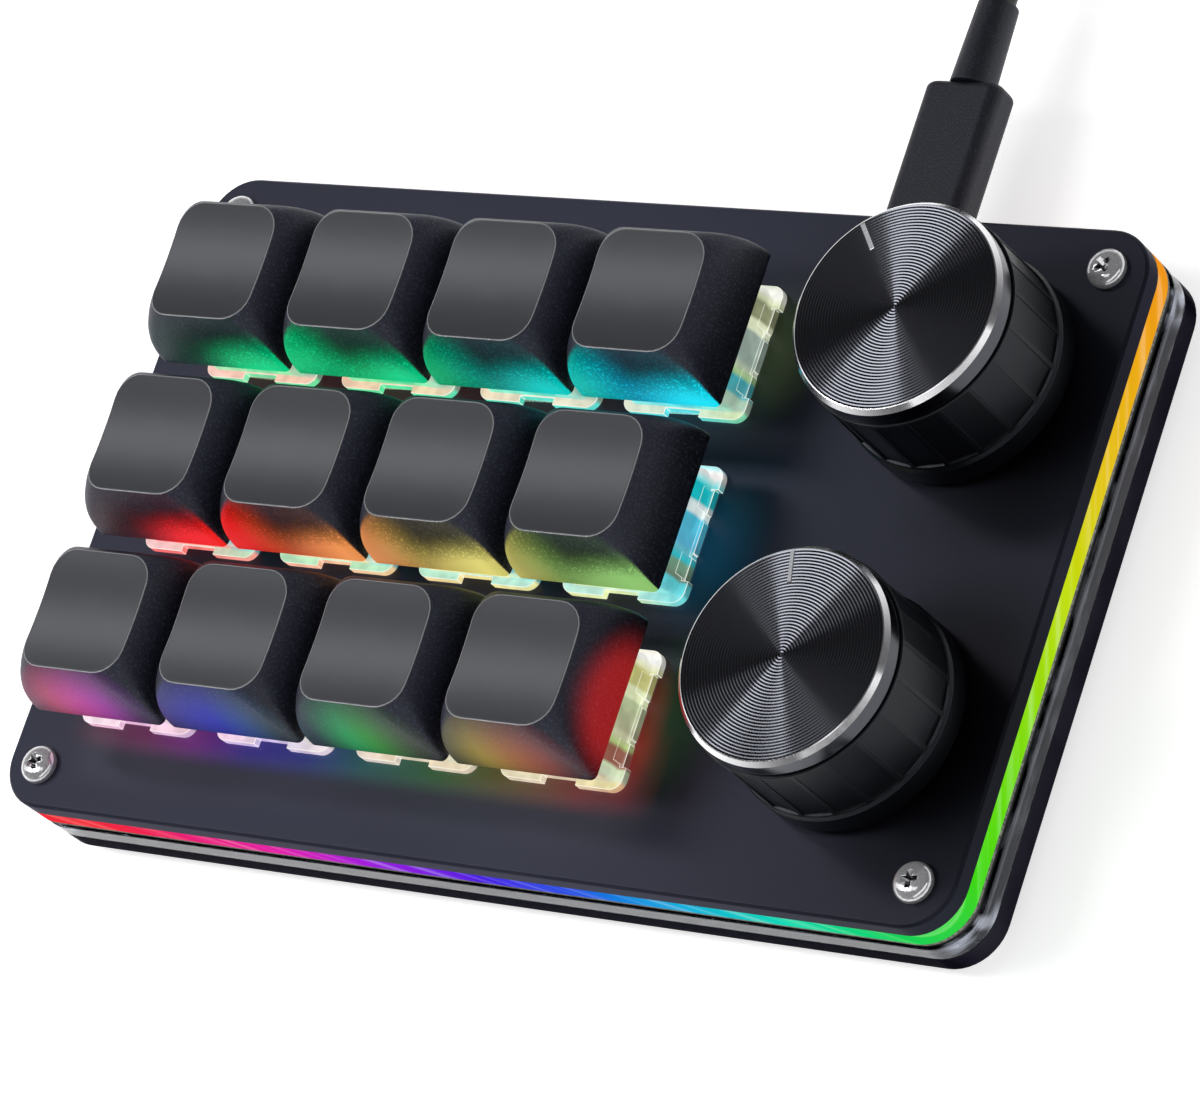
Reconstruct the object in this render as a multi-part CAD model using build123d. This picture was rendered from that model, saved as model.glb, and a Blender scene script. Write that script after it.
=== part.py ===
from build123d import *
import os

# A macro keypad: twelve push keys and two turning, pressing knobs on a screwed stack of plates.
# Millimetres, +Z up. The origin is on the table, under the centre of the plates.
# +X runs along the rows of keys towards the knobs and +Y towards the cable.

# ---------------------------------------------------------------- plates and rings
plate_width = 123.5
plate_depth = 77.0
corner_radius = 5.5
foot_height = 2.0
bottom_thick = 3.0
clear_thick = 2.6
board_thick = 1.0
guide_thick = 2.7
face_thick = 2.3
edge_chamfer = 0.3
rim_width = 5.0
rim_inner_radius = 9.0
board_inset = 0.35
overshoot = 1.0

# ---------------------------------------------------------------- fasteners and feet
screw_inset = 4.7
screw_hole = 2.8
screw_shank = 2.4
screw_head = 4.4
screw_head_height = 1.5
screw_head_round = 0.6
screw_reach = 3.0
recess_length = 2.5
recess_width = 0.6
recess_depth = 0.8
post_diameter = 4.2
post_bore = 2.5
post_clearance = 0.2
foot_diameter = 9.0
foot_inset_x = 13.0
foot_inset_y = 13.0
foot_chamfer = 0.5

# ---------------------------------------------------------------- key grid
rows = 3
columns = 4
key_pitch_x = 19.05
key_pitch_y = 21.0
first_key_from_left = 16.4
key_grid_off_centre = 0.3
key_travel = 4.0
key_hole = 14.0
housing_clearance = 0.1

# ---------------------------------------------------------------- switch
flange_size = 15.6
flange_radius = 1.4
flange_thick = 1.0
clip_notch_width = 2.9
clip_notch_offset = 3.75
middle_notch_width = 4.4
middle_notch_depth = 0.9
front_notch_depth = 0.6
floor_thick = 1.0
stem_room_x = 10.6
stem_room_y = 6.2
post_length = 3.3
guide_post = 3.9
guide_bore = 2.6
guide_bore_floor = 0.6
cover_height = 6.6
cover_step = 2.4
cover_base = 13.8
cover_top_x = 11.2
cover_top_y = 10.4
cover_wall = 1.0
cover_radius = 0.9
stem_window_x = 7.6
stem_window_y = 5.9
clip_width = 2.4
clip_thick = 0.5
clip_drop = 0.2
slider_x = 7.2
slider_y = 5.4
slider_bottom = 2.2
slider_top = 6.5
wing_x = 9.0
wing_y = 3.0
wing_clearance = 0.3
cross_span = 4.0
cross_bar_x = 1.25
cross_bar_y = 1.15
cross_height = 3.6
pin_diameter = 1.9
pin_length = 4.7
spring_outer = 4.8
spring_wire = 0.4
led_length = 3.5
led_width = 2.8
led_height = 1.9
led_room = 0.5
led_from_centre = 5.1
contact_width = 1.0
contact_thick = 0.4
contact_hole = 1.5
contact_a = (-3.81, 2.54)
contact_b = (2.54, 5.08)

# ---------------------------------------------------------------- keycap
cap_base_height = 6.7
cap_height = 8.2
cap_base_size = 18.1
cap_base_radius = 0.7
cap_low_height = 2.4
cap_low_size = 17.75
cap_low_radius = 1.0
cap_mid_height = 5.5
cap_mid_size = 16.35
cap_mid_radius = 1.9
cap_top_x = 13.5
cap_top_y = 13.8
cap_top_radius = 3.0
cap_room_base = 15.5
cap_room_top = 11.6
cap_roof = 1.6
cap_dish_radius = 70.0
cap_dish_depth = 0.35
cap_post = 5.5
cap_post_lift = 0.3
cross_clearance = 0.1

# ---------------------------------------------------------------- turning knobs
knob_from_right = 17.05
upper_knob_from_back = 17.7
lower_knob_from_front = 21.05
knob_press = 0.5
knob_lift = 0.9
knob_height = 16.3
knob_ring_radius = 12.6
knob_ring_height = 3.2
knob_base_radius = 12.35
knob_neck_radius = 12.2
knob_lip = 0.1
cap_disc_height = 2.6
cap_disc_radius = 11.95
cap_disc_chamfer = 0.55
panel_count = 20
panel_depth = 0.25
panel_ridge = 0.5
panel_bottom = 3.6
panel_height = 9.0
knob_room_radius = 10.3
knob_roof = 2.2
hub_radius = 5.0
encoder_size_x = 11.8
encoder_size_y = 12.2
encoder_height = 6.6
encoder_wall = 0.8
encoder_hole_gap = 0.4
bushing_radius = 3.5
bushing_length = 5.0
shaft_radius = 3.0
shaft_bore_gap = 0.05
shaft_cover = 0.8
rotor_radius = 4.7
rotor_height = 2.6
rotor_gap = 0.2
tang_size = 3.2
tang_gap = 0.15
encoder_pin = 1.0
encoder_pin_length = 2.2
encoder_pin_hole = 1.4
encoder_pin_pitch = 2.5
encoder_pin_row = 7.2

# ---------------------------------------------------------------- board parts
edge_led_gap = 0.4
chip_size = 7.0
chip_height = 0.9
chip_from_right = 17.5
chip_from_front = 41.0
small_part = (2.0, 1.25, 0.8)
small_part_pitch = 3.2
small_parts = 3
crystal_size = (3.2, 2.5, 0.7)

# ---------------------------------------------------------------- cable and its plugs
usb_from_right = 31.6
usb_height = 8.5
socket_width = 8.94
socket_height = 3.26
socket_length = 7.4
socket_wall = 0.25
socket_rear_thick = 1.0
socket_recess = 0.5
socket_notch_gap = 0.3
tongue_width = 6.4
tongue_thick = 0.7
tongue_length = 5.0
plug_shell_width = 8.2
plug_shell_height = 2.4
plug_shell_wall = 0.5
plug_shell_length = 6.4
plug_gap = 0.4
plug_width = 9.6
plug_thick = 4.6
plug_length = 17.4
plug_radius = 1.5
plug_chamfer = 0.6
relief_length = 10.0
relief_start_radius = 2.55
relief_end_radius = 2.25
cable_diameter = 3.4
coil_mean_radius = 19.0
coil_from_exit = 45.0
arc_share = 0.45
coil_layers = 4
coil_columns = 3
tie_thick = 0.6
tie_width = 10.0
tie_gap = 0.2
host_body = (22.0, 15.6, 8.0)
host_body_radius = 2.0
host_relief_length = 6.0
host_relief_radius = 2.6
host_relief_wall = 0.3
host_shell = (12.0, 12.0, 4.5)
host_shell_wall = 0.4
host_tongue_thick = 1.8
host_tongue_gap = 0.3

# ---------------------------------------------------------------- levels and places
clear_floor = foot_height + bottom_thick
board_floor = clear_floor + clear_thick
board_top = board_floor + board_thick
face_floor = board_top + guide_thick
face_top = face_floor + face_thick
under_face = board_top - face_top

column_x = [-plate_width / 2 + first_key_from_left + c * key_pitch_x for c in range(columns)]
row_y = [key_grid_off_centre + ((rows - 1) / 2 - r) * key_pitch_y for r in range(rows)]
keys = [(r, c, column_x[c], row_y[r]) for r in range(rows) for c in range(columns)]
knob_x = plate_width / 2 - knob_from_right
knobs = {
    "upper": (knob_x, plate_depth / 2 - upper_knob_from_back),
    "lower": (knob_x, -plate_depth / 2 + lower_knob_from_front),
}
corners = [
    (sx * (plate_width / 2 - screw_inset), sy * (plate_depth / 2 - screw_inset))
    for sx in (-1, 1)
    for sy in (-1, 1)
]
usb_x = plate_width / 2 - usb_from_right
back_edge = plate_depth / 2

os.makedirs("parts", exist_ok=True)


def save(node, *solids):
    """Write one node: a single solid, or a group of separate solids."""
    shape = solids[0] if len(solids) == 1 else Compound(children=list(solids))
    shape.label = node
    export_step(shape, f"parts/{node}.step")


def block(x_size, y_size, low, high, x=0.0, y=0.0):
    """A box centred on x, y that stands from low to high."""
    return Pos(x, y, (low + high) / 2) * Box(x_size, y_size, high - low)


def rod(radius, low, high, x=0.0, y=0.0):
    """An upright cylinder from low to high."""
    return Pos(x, y, (low + high) / 2) * Cylinder(radius, high - low)


def bore(radius, low, high, x=0.0, y=0.0):
    """An upright cylinder to cut with, that runs past both ends."""
    return rod(radius, low - overshoot, high + overshoot, x, y)


def window(x_size, y_size, low, high, x=0.0, y=0.0):
    """A box to cut with, that runs past its lower and upper face."""
    return block(x_size, y_size, low - overshoot, high + overshoot, x, y)


def slab(x_size, y_size, radius, low, high):
    """An upright slab with round corners."""
    return Pos(0, 0, low) * extrude(RectangleRounded(x_size, y_size, radius), high - low)


def at_keys(shape):
    """A copy of a key's piece, made about the plate's face, at every key."""
    return [Pos(x, y, face_top) * shape for _, _, x, y in keys]


def at_knobs(shape):
    """A copy of an encoder's piece at both knobs."""
    return [Pos(x, y, 0) * shape for x, y in knobs.values()]


# ---------------------------------------------------------------- the stack of plates
def top_plate():
    plate = slab(plate_width, plate_depth, corner_radius, face_floor, face_top)
    plate = chamfer(plate.edges().group_by(Axis.Z)[-1], edge_chamfer)
    for _, _, x, y in keys:
        plate -= window(key_hole, key_hole, face_floor, face_top, x, y)
    for x, y in knobs.values():
        hole_x = encoder_size_x + 2 * encoder_hole_gap
        hole_y = encoder_size_y + 2 * encoder_hole_gap
        plate -= window(hole_x, hole_y, face_floor, face_top, x, y)
    for x, y in corners:
        plate -= bore(screw_hole / 2, face_floor, face_top, x, y)
    return plate


def rim(low, high):
    """A ring of the plates' outline, thicker at the corner posts, notched for the socket."""
    ring = slab(plate_width, plate_depth, corner_radius, low, high)
    window_x = plate_width - 2 * rim_width
    window_y = plate_depth - 2 * rim_width
    ring -= slab(window_x, window_y, rim_inner_radius, low - overshoot, high + overshoot)
    for x, y in corners:
        ring -= bore(post_diameter / 2 + post_clearance, low, high, x, y)
    notch_x = socket_width + 2 * socket_notch_gap
    notch_low = usb_height - socket_height / 2 - socket_notch_gap
    notch_high = usb_height + socket_height / 2 + socket_notch_gap
    ring -= block(notch_x, 4 * rim_width, notch_low, notch_high, usb_x, back_edge)
    return ring


def circuit_board():
    width = plate_width - 2 * board_inset
    depth = plate_depth - 2 * board_inset
    board = slab(width, depth, corner_radius - board_inset, board_floor, board_top)
    for x, y in corners:
        board -= bore(post_diameter / 2 + post_clearance, board_floor, board_top, x, y)
    for _, _, x, y in keys:
        board -= bore(guide_post / 2 + housing_clearance, board_floor, board_top, x, y)
        for dx, dy in (contact_a, contact_b):
            board -= bore(contact_hole / 2, board_floor, board_top, x + dx, y + dy)
    for x, y in knobs.values():
        for dx, dy in encoder_pins():
            board -= bore(encoder_pin_hole / 2, board_floor, board_top, x + dx, y + dy)
    notch_x = socket_width + 2 * socket_notch_gap
    notch_y = 2 * (socket_length + socket_recess + socket_notch_gap)
    board -= window(notch_x, notch_y, board_floor, board_top, usb_x, back_edge)
    return board


def bottom_plate():
    plate = slab(plate_width, plate_depth, corner_radius, foot_height, clear_floor)
    plate = chamfer(plate.edges().group_by(Axis.Z)[0], edge_chamfer)
    for x, y in corners:
        plate -= bore(screw_hole / 2, foot_height, clear_floor, x, y)
    return plate


def screw():
    """A pan head screw about its head's seat, shank down, with a cross recess."""
    head = rod(screw_head / 2, 0, screw_head_height)
    head = fillet(head.edges().group_by(Axis.Z)[-1], screw_head_round)
    recess_floor = screw_head_height - recess_depth
    head -= block(recess_length, recess_width, recess_floor, screw_head_height + overshoot)
    head -= block(recess_width, recess_length, recess_floor, screw_head_height + overshoot)
    return head


def face_screws():
    shank = rod(screw_shank / 2, -face_thick - screw_reach, 0)
    return [Pos(x, y, face_top) * (screw() + shank) for x, y in corners]


def base_screws():
    shank = rod(screw_shank / 2, -bottom_thick - screw_reach, 0)
    turned = Rot(180, 0, 0) * (screw() + shank)
    return [Pos(x, y, foot_height) * turned for x, y in corners]


def corner_posts():
    post = rod(post_diameter / 2, clear_floor, face_floor)
    post -= bore(post_bore / 2, clear_floor, face_floor)
    return [Pos(x, y, 0) * post for x, y in corners]


def rubber_feet():
    foot = rod(foot_diameter / 2, 0, foot_height)
    foot = chamfer(foot.edges().group_by(Axis.Z)[0], foot_chamfer)
    foot_x = plate_width / 2 - foot_inset_x
    foot_y = plate_depth / 2 - foot_inset_y
    return [Pos(sx * foot_x, sy * foot_y, 0) * foot for sx in (-1, 1) for sy in (-1, 1)]


# ---------------------------------------------------------------- the switch, about the plate's face
def switch_base():
    """The lower housing: a box through the plate, a notched flange and the guide post."""
    box_size = key_hole - 2 * housing_clearance
    shape = block(box_size, box_size, under_face, flange_thick)
    flange = slab(flange_size, flange_size, flange_radius, 0, flange_thick)
    for side in (-1, 1):
        edge = side * flange_size / 2
        flange -= window(2 * middle_notch_depth, middle_notch_width, 0, flange_thick, edge, 0)
        flange -= window(middle_notch_width, 2 * front_notch_depth, 0, flange_thick, 0, edge)
        for along in (-clip_notch_offset, clip_notch_offset):
            clip_room = flange_size - cover_base
            flange -= window(clip_room, clip_notch_width, 0, flange_thick, edge, along)
    shape += flange
    cavity_floor = under_face + floor_thick
    shape -= block(stem_room_x, stem_room_y, cavity_floor, flange_thick + overshoot)
    shape += rod(guide_post / 2, under_face - post_length, cavity_floor)
    shape -= rod(guide_bore / 2, under_face - post_length + guide_bore_floor, flange_thick)
    room_x = led_length + 2 * led_room
    room_y = led_width + led_room
    room_top = under_face + led_height + led_room
    shape -= block(room_x, room_y, under_face - overshoot, room_top, 0, -led_from_centre)
    return shape


def switch_cover():
    """The upper housing: a tapered hollow hood with the stem's window and four clips."""
    low = slab(cover_base, cover_base, cover_radius, flange_thick, cover_step)
    hood = loft(
        [
            Pos(0, 0, cover_step) * RectangleRounded(cover_base, cover_base, cover_radius),
            Pos(0, 0, cover_height) * RectangleRounded(cover_top_x, cover_top_y, cover_radius),
        ],
        ruled=True,
    )
    ceiling = cover_height - cover_wall
    inside = 2 * cover_wall
    room = loft(
        [
            Pos(0, 0, flange_thick) * Rectangle(cover_base - inside, cover_base - inside),
            Pos(0, 0, ceiling) * Rectangle(cover_top_x - inside, cover_top_y - inside),
        ],
        ruled=True,
    )
    shape = low + hood - room
    shape -= block(stem_window_x, stem_window_y, ceiling - overshoot, cover_height + overshoot)
    clip_x = cover_base / 2 + clip_thick / 2
    for side in (-1, 1):
        for along in (-clip_notch_offset, clip_notch_offset):
            shape += block(clip_thick, clip_width, clip_drop, cover_step, side * clip_x, along)
    return shape


def switch_stem():
    """The sliding stem: a slider with two wings, the cross on top and a pin below."""
    wing_top = cover_height - cover_wall - wing_clearance
    shape = block(slider_x, slider_y, slider_bottom, slider_top)
    shape += block(wing_x, wing_y, slider_bottom, wing_top)
    shape += block(cross_span, cross_bar_x, slider_top, slider_top + cross_height)
    shape += block(cross_bar_y, cross_span, slider_top, slider_top + cross_height)
    shape += rod(pin_diameter / 2, slider_bottom - pin_length, slider_bottom)
    return shape


def key_spring():
    """The return spring's coil, as the tube that it winds."""
    seat = under_face + floor_thick
    coil = rod(spring_outer / 2, seat, slider_bottom)
    return coil - bore(spring_outer / 2 - spring_wire, seat, slider_bottom)


def contact_pins():
    low = under_face - post_length
    return [
        block(contact_width, contact_thick, low, under_face, dx, dy)
        for dx, dy in (contact_a, contact_b)
    ]


def key_led():
    return block(led_length, led_width, under_face, under_face + led_height, 0, -led_from_centre)


# ---------------------------------------------------------------- keycap, about its lower edge
def keycap():
    """A hollow cap with bulging sides, a top dished from front to back and a cross-bored post."""
    sections = [
        (0, cap_base_size, cap_base_size, cap_base_radius),
        (cap_low_height, cap_low_size, cap_low_size, cap_low_radius),
        (cap_mid_height, cap_mid_size, cap_mid_size, cap_mid_radius),
        (cap_height, cap_top_x, cap_top_y, cap_top_radius),
    ]
    outside = [Pos(0, 0, z) * RectangleRounded(x, y, r) for z, x, y, r in sections]
    shape = loft(outside)
    dish = Rot(0, 90, 0) * Cylinder(cap_dish_radius, 2 * cap_base_size)
    shape -= Pos(0, 0, cap_height - cap_dish_depth + cap_dish_radius) * dish
    ceiling = cap_height - cap_roof
    room = loft(
        [
            Rectangle(cap_room_base, cap_room_base),
            Pos(0, 0, ceiling) * Rectangle(cap_room_top, cap_room_top),
        ],
        ruled=True,
    )
    shape -= room
    post = rod(cap_post / 2, cap_post_lift, ceiling)
    cross_top = slider_top + cross_height + cross_clearance - cap_base_height
    cross_low = cap_post_lift - overshoot
    slot_span = cross_span + cross_clearance
    post -= block(slot_span, cross_bar_x + cross_clearance, cross_low, cross_top)
    post -= block(cross_bar_y + cross_clearance, slot_span, cross_low, cross_top)
    return shape + post


# ---------------------------------------------------------------- encoder and knob
def encoder_pins():
    """Where an encoder's five pins stand, about its shaft."""
    front = [(-encoder_pin_pitch, -1), (0, -1), (encoder_pin_pitch, -1)]
    rear = [(-encoder_pin_pitch, 1), (encoder_pin_pitch, 1)]
    half_row = encoder_pin_row / 2
    return [(dx, side * half_row) for dx, side in front + rear]


rotor_floor = board_top + encoder_wall
rotor_low = rotor_floor + rotor_gap
rotor_high = rotor_low + rotor_height
rotor_ceiling = rotor_high + rotor_gap
encoder_top = board_top + encoder_height
shaft_shoulder = rotor_ceiling + knob_press + rotor_gap
knob_floor = face_top + knob_lift
knob_top = face_top + knob_height
disc_floor = knob_top - cap_disc_height
shaft_top = disc_floor - shaft_cover


def encoder_housing():
    shape = block(encoder_size_x, encoder_size_y, board_top, encoder_top)
    shape = chamfer(shape.edges().filter_by(Axis.Z), edge_chamfer)
    shape += rod(bushing_radius, encoder_top, encoder_top + bushing_length)
    shape -= rod(rotor_radius + rotor_gap, rotor_floor, rotor_ceiling)
    shape -= rod(shaft_radius + shaft_bore_gap, rotor_ceiling, encoder_top + bushing_length + overshoot)
    for dx, dy in encoder_pins():
        shape += rod(encoder_pin / 2, board_top - encoder_pin_length, board_top, dx, dy)
    return shape


def encoder_rotor():
    hole = tang_size + 2 * tang_gap
    return rod(rotor_radius, rotor_low, rotor_high) - window(hole, hole, rotor_low, rotor_high)


def encoder_shaft():
    tang_low = rotor_floor + knob_press + rotor_gap
    tang = block(tang_size, tang_size, tang_low, shaft_shoulder)
    return tang + rod(shaft_radius, shaft_shoulder, shaft_top)


def knob_body():
    """The gripped sleeve: a smooth foot ring, a tapered wall with flat panels, a hub inside."""
    ring_top = knob_floor + knob_ring_height
    outline = Polyline(
        (0, knob_floor),
        (knob_ring_radius - edge_chamfer, knob_floor),
        (knob_ring_radius, knob_floor + edge_chamfer),
        (knob_ring_radius, ring_top - edge_chamfer),
        (knob_base_radius, ring_top),
        (knob_neck_radius, disc_floor - knob_lip),
        (knob_neck_radius - knob_lip, disc_floor),
        (0, disc_floor),
        close=True,
    )
    shape = revolve(Plane.XZ * make_face(outline), Axis.Z)
    panel_low = knob_floor + panel_bottom
    pitch = 360 / panel_count
    lean = (knob_base_radius - knob_neck_radius) / (disc_floor - ring_top)
    wall = knob_base_radius - lean * (panel_low + panel_height / 2 - ring_top)
    chord = 2 * wall * sin_deg(pitch / 2) - panel_ridge
    for k in range(panel_count):
        cutter = block(2 * panel_depth, chord, panel_low, panel_low + panel_height, wall)
        shape -= Rot(0, 0, pitch * (k + 0.5)) * cutter
    ceiling = disc_floor - knob_roof
    shape -= rod(knob_room_radius, knob_floor - overshoot, ceiling)
    hub_floor = encoder_top + bushing_length + knob_press + rotor_gap
    shape += rod(hub_radius, hub_floor, ceiling)
    return shape - rod(shaft_radius, hub_floor - overshoot, shaft_top)


def knob_disc():
    """The turned metal cap: a bevelled disc on the sleeve's neck."""
    disc = rod(cap_disc_radius, disc_floor, knob_top)
    return chamfer(disc.edges().group_by(Axis.Z)[-1], cap_disc_chamfer)


def sin_deg(angle):
    return Vector(1, 0, 0).rotate(Axis.Z, angle).Y


# ---------------------------------------------------------------- electronics
def edge_leds():
    """Side-firing lamps just inside the light guide, in line with the gaps between keys."""
    inset = rim_width + edge_led_gap + led_width / 2
    half_x = plate_width / 2 - inset
    half_y = plate_depth / 2 - inset
    top = board_top + led_height
    lamps = []
    for x in [x + key_pitch_x / 2 for x in column_x] + [knob_x]:
        lamps.append(block(led_length, led_width, board_top, top, x, -half_y))
        if abs(x - usb_x) > socket_width:
            lamps.append(block(led_length, led_width, board_top, top, x, half_y))
    for y in [y - key_pitch_y / 2 for y in row_y[:-1]]:
        for side in (-1, 1):
            lamps.append(block(led_width, led_length, board_top, top, side * half_x, y))
    return lamps


def board_parts():
    """The controller, its crystal and a row of small parts between the encoders."""
    chip_x = plate_width / 2 - chip_from_right
    chip_y = -plate_depth / 2 + chip_from_front
    parts = [block(chip_size, chip_size, board_top, board_top + chip_height, chip_x, chip_y)]
    length, width, height = crystal_size
    crystal_x = chip_x - chip_size
    parts.append(block(length, width, board_top, board_top + height, crystal_x, chip_y))
    length, width, height = small_part
    for k in range(small_parts):
        y = chip_y + (k - (small_parts - 1) / 2) * small_part_pitch
        parts.append(
            block(length, width, board_top, board_top + height, chip_x + chip_size, y)
        )
    return parts


def flat_tube(width, height, wall, low_y, high_y):
    """A tube along Y with the round-ended section of the small plug."""
    def prism(w, h):
        face = Plane.XZ * SlotOverall(w, h)
        return Pos(usb_x, high_y, usb_height) * extrude(face, high_y - low_y)

    return prism(width, height) - prism(width - 2 * wall, height - 2 * wall)


def usb_socket():
    mouth = back_edge - socket_recess
    rear = mouth - socket_length
    shell = flat_tube(socket_width, socket_height, socket_wall, rear, mouth)
    low = usb_height - socket_height / 2
    high = usb_height + socket_height / 2
    rear_width = socket_width - socket_height
    rear_y = rear + socket_rear_thick / 2
    rear_block = block(rear_width, socket_rear_thick, low, high, usb_x, rear_y)
    tongue = Pos(usb_x, rear + tongue_length / 2, usb_height) * Box(
        tongue_width, tongue_length, tongue_thick
    )
    return shell + rear_block + tongue


def usb_plug_shell():
    front = back_edge + plug_gap - plug_shell_length
    return flat_tube(
        plug_shell_width, plug_shell_height, plug_shell_wall, front, back_edge + plug_gap
    )


def usb_plug():
    face = Plane.XZ * RectangleRounded(plug_width, plug_thick, plug_radius)
    start = back_edge + plug_gap
    body = Pos(usb_x, start + plug_length, usb_height) * extrude(face, plug_length)
    return chamfer(body.edges().group_by(Axis.Y)[-1], plug_chamfer)


relief_start = back_edge + plug_gap + plug_length
exit_y = relief_start + relief_length


def cable_relief():
    cone = Cone(relief_start_radius, relief_end_radius, relief_length)
    return Pos(usb_x, relief_start + relief_length / 2, usb_height) * Rot(-90, 0, 0) * cone


# ---------------------------------------------------------------- cable
# The lead runs straight back from the plug, sinks to the table and goes into a flat coil.
# Offsets are from the exit at the strain relief: across, back, and height above the table.
coil_half_width = coil_columns * cable_diameter / 2
coil_outer_radius = coil_mean_radius + coil_half_width
coil_inner_radius = coil_mean_radius - coil_half_width
coil_turn_radius = coil_outer_radius - cable_diameter / 2
coil_centre_x = usb_x - coil_turn_radius
coil_centre_y = exit_y + coil_from_exit
lay_height = tie_thick + cable_diameter / 2
lead_route = [
    (usb_x, exit_y, usb_height),
    (usb_x, exit_y + 7.0, usb_height),
    (usb_x + 0.1, exit_y + 16.0, 5.2),
    (usb_x, exit_y + 26.0, lay_height + 0.3),
    (usb_x + 0.2, exit_y + 36.0, lay_height),
    (usb_x, coil_centre_y, lay_height),
]
tail_y = coil_centre_y + coil_turn_radius + cable_diameter
tail_route = [
    (coil_centre_x, tail_y, 5.0),
    (coil_centre_x - 9.0, tail_y + 0.2, 3.6),
    (coil_centre_x - 18.0, tail_y, host_body[2] / 2),
    (coil_centre_x - 26.0, tail_y, host_body[2] / 2),
]


def cable_tube(route):
    """A round tube on straight runs joined by arcs as large as the runs allow."""
    points = [Vector(*point) for point in route]
    radii = []
    for before, corner, after in zip(points, points[1:], points[2:]):
        turn = (corner - before).get_angle(after - corner)
        run = min((corner - before).length, (after - corner).length)
        half_turn = Vector(1, 0, 0).rotate(Axis.Z, turn / 2)
        radii.append(arc_share * run * half_turn.X / half_turn.Y)
    print("cable radii", [round(radius, 1) for radius in radii])
    path = FilletPolyline(*points, radius=radii)
    section = Plane(origin=points[0], z_dir=points[1] - points[0]) * Circle(cable_diameter / 2)
    tube = sweep(section, path=path)
    print("tube volume", tube.volume, "by length", section.area * path.length)
    return tube


def cable_coil():
    height = coil_layers * cable_diameter
    ring = rod(coil_outer_radius, 0, height) - bore(coil_inner_radius, 0, height)
    return Pos(coil_centre_x, coil_centre_y, tie_thick) * ring


def cable_tie():
    """A flat strap round the coil, at the side away from the keypad."""
    half = tie_width / 2
    near = (coil_inner_radius**2 - half**2) ** 0.5 - tie_gap
    far = coil_outer_radius + tie_gap
    inside_x = far - near
    inside_z = coil_layers * cable_diameter + tie_gap
    strap = Box(inside_x + 2 * tie_thick, tie_width, inside_z + 2 * tie_thick)
    strap -= Box(inside_x, tie_width + overshoot, inside_z)
    middle = coil_centre_x - (near + far) / 2
    return Pos(middle, coil_centre_y, tie_thick + inside_z / 2) * strap


host_relief_x = tail_route[-1][0]
host_body_x = host_relief_x - host_relief_length
host_y = tail_route[-1][1]
host_z = host_body[2] / 2


def host_plug():
    length, width, height = host_body
    body = Box(length, width, height)
    body = fillet(body.edges().filter_by(Axis.X), host_body_radius)
    body = Pos(host_body_x - length / 2, host_y, host_z) * body
    cone = Cone(host_relief_radius, cable_diameter / 2 + host_relief_wall, host_relief_length)
    cone = Pos(host_body_x + host_relief_length / 2, host_y, host_z) * Rot(0, 90, 0) * cone
    return body + cone


def host_plug_shell():
    length, width, height = host_shell
    mouth_x = host_body_x - host_body[0] - length / 2
    shell = Box(length, width, height)
    shell -= Box(length + overshoot, width - 2 * host_shell_wall, height - 2 * host_shell_wall)
    tongue_z = -height / 2 + host_shell_wall + host_tongue_thick / 2
    tongue_width = width - 2 * host_shell_wall
    shell += Pos(0, 0, tongue_z) * Box(length - host_tongue_gap, tongue_width, host_tongue_thick)
    return Pos(mouth_x, host_y, host_z) * shell


# ---------------------------------------------------------------- write every node
save("top_plate", top_plate())
save("light_guide", rim(board_top, face_floor))
save("circuit_board", circuit_board())
save("clear_frame", rim(clear_floor, board_floor))
save("bottom_plate", bottom_plate())
save("corner_screws", *face_screws())
save("base_screws", *base_screws())
save("corner_posts", *corner_posts())
save("rubber_feet", *rubber_feet())

save("switch_bases", *at_keys(switch_base()))
save("switch_covers", *at_keys(switch_cover()))
save("key_springs", *at_keys(key_spring()))
save("key_leds", *at_keys(key_led()))
save("switch_pins", *[Pos(x, y, face_top) * pin for _, _, x, y in keys for pin in contact_pins()])
stem = switch_stem()
cap = keycap()
for r, c, x, y in keys:
    save(f"switch_stem_r{r + 1}c{c + 1}", Pos(x, y, face_top) * stem)
    save(f"keycap_r{r + 1}c{c + 1}", Pos(x, y, face_top + cap_base_height) * cap)

save("encoder_housings", *at_knobs(encoder_housing()))
rotor = encoder_rotor()
shaft = encoder_shaft()
sleeve = knob_body()
disc = knob_disc()
for name, (x, y) in knobs.items():
    save(f"encoder_rotor_{name}", Pos(x, y, 0) * rotor)
    save(f"encoder_shaft_{name}", Pos(x, y, 0) * shaft)
    save(f"knob_body_{name}", Pos(x, y, 0) * sleeve)
    save(f"knob_disc_{name}", Pos(x, y, 0) * disc)

save("edge_leds", *edge_leds())
save("board_parts", *board_parts())
save("usb_socket", usb_socket())
save("usb_plug_shell", usb_plug_shell())
save("usb_plug", usb_plug())
save("cable_relief", cable_relief())
save("usb_cable", cable_tube(lead_route))
save("cable_tail", cable_tube(tail_route))
save("cable_coil", cable_coil())
save("cable_tie", cable_tie())
save("host_plug", host_plug())
save("host_plug_shell", host_plug_shell())
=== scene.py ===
import math

import bmesh
import bpy
from mathutils import Matrix, Quaternion, Vector


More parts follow.
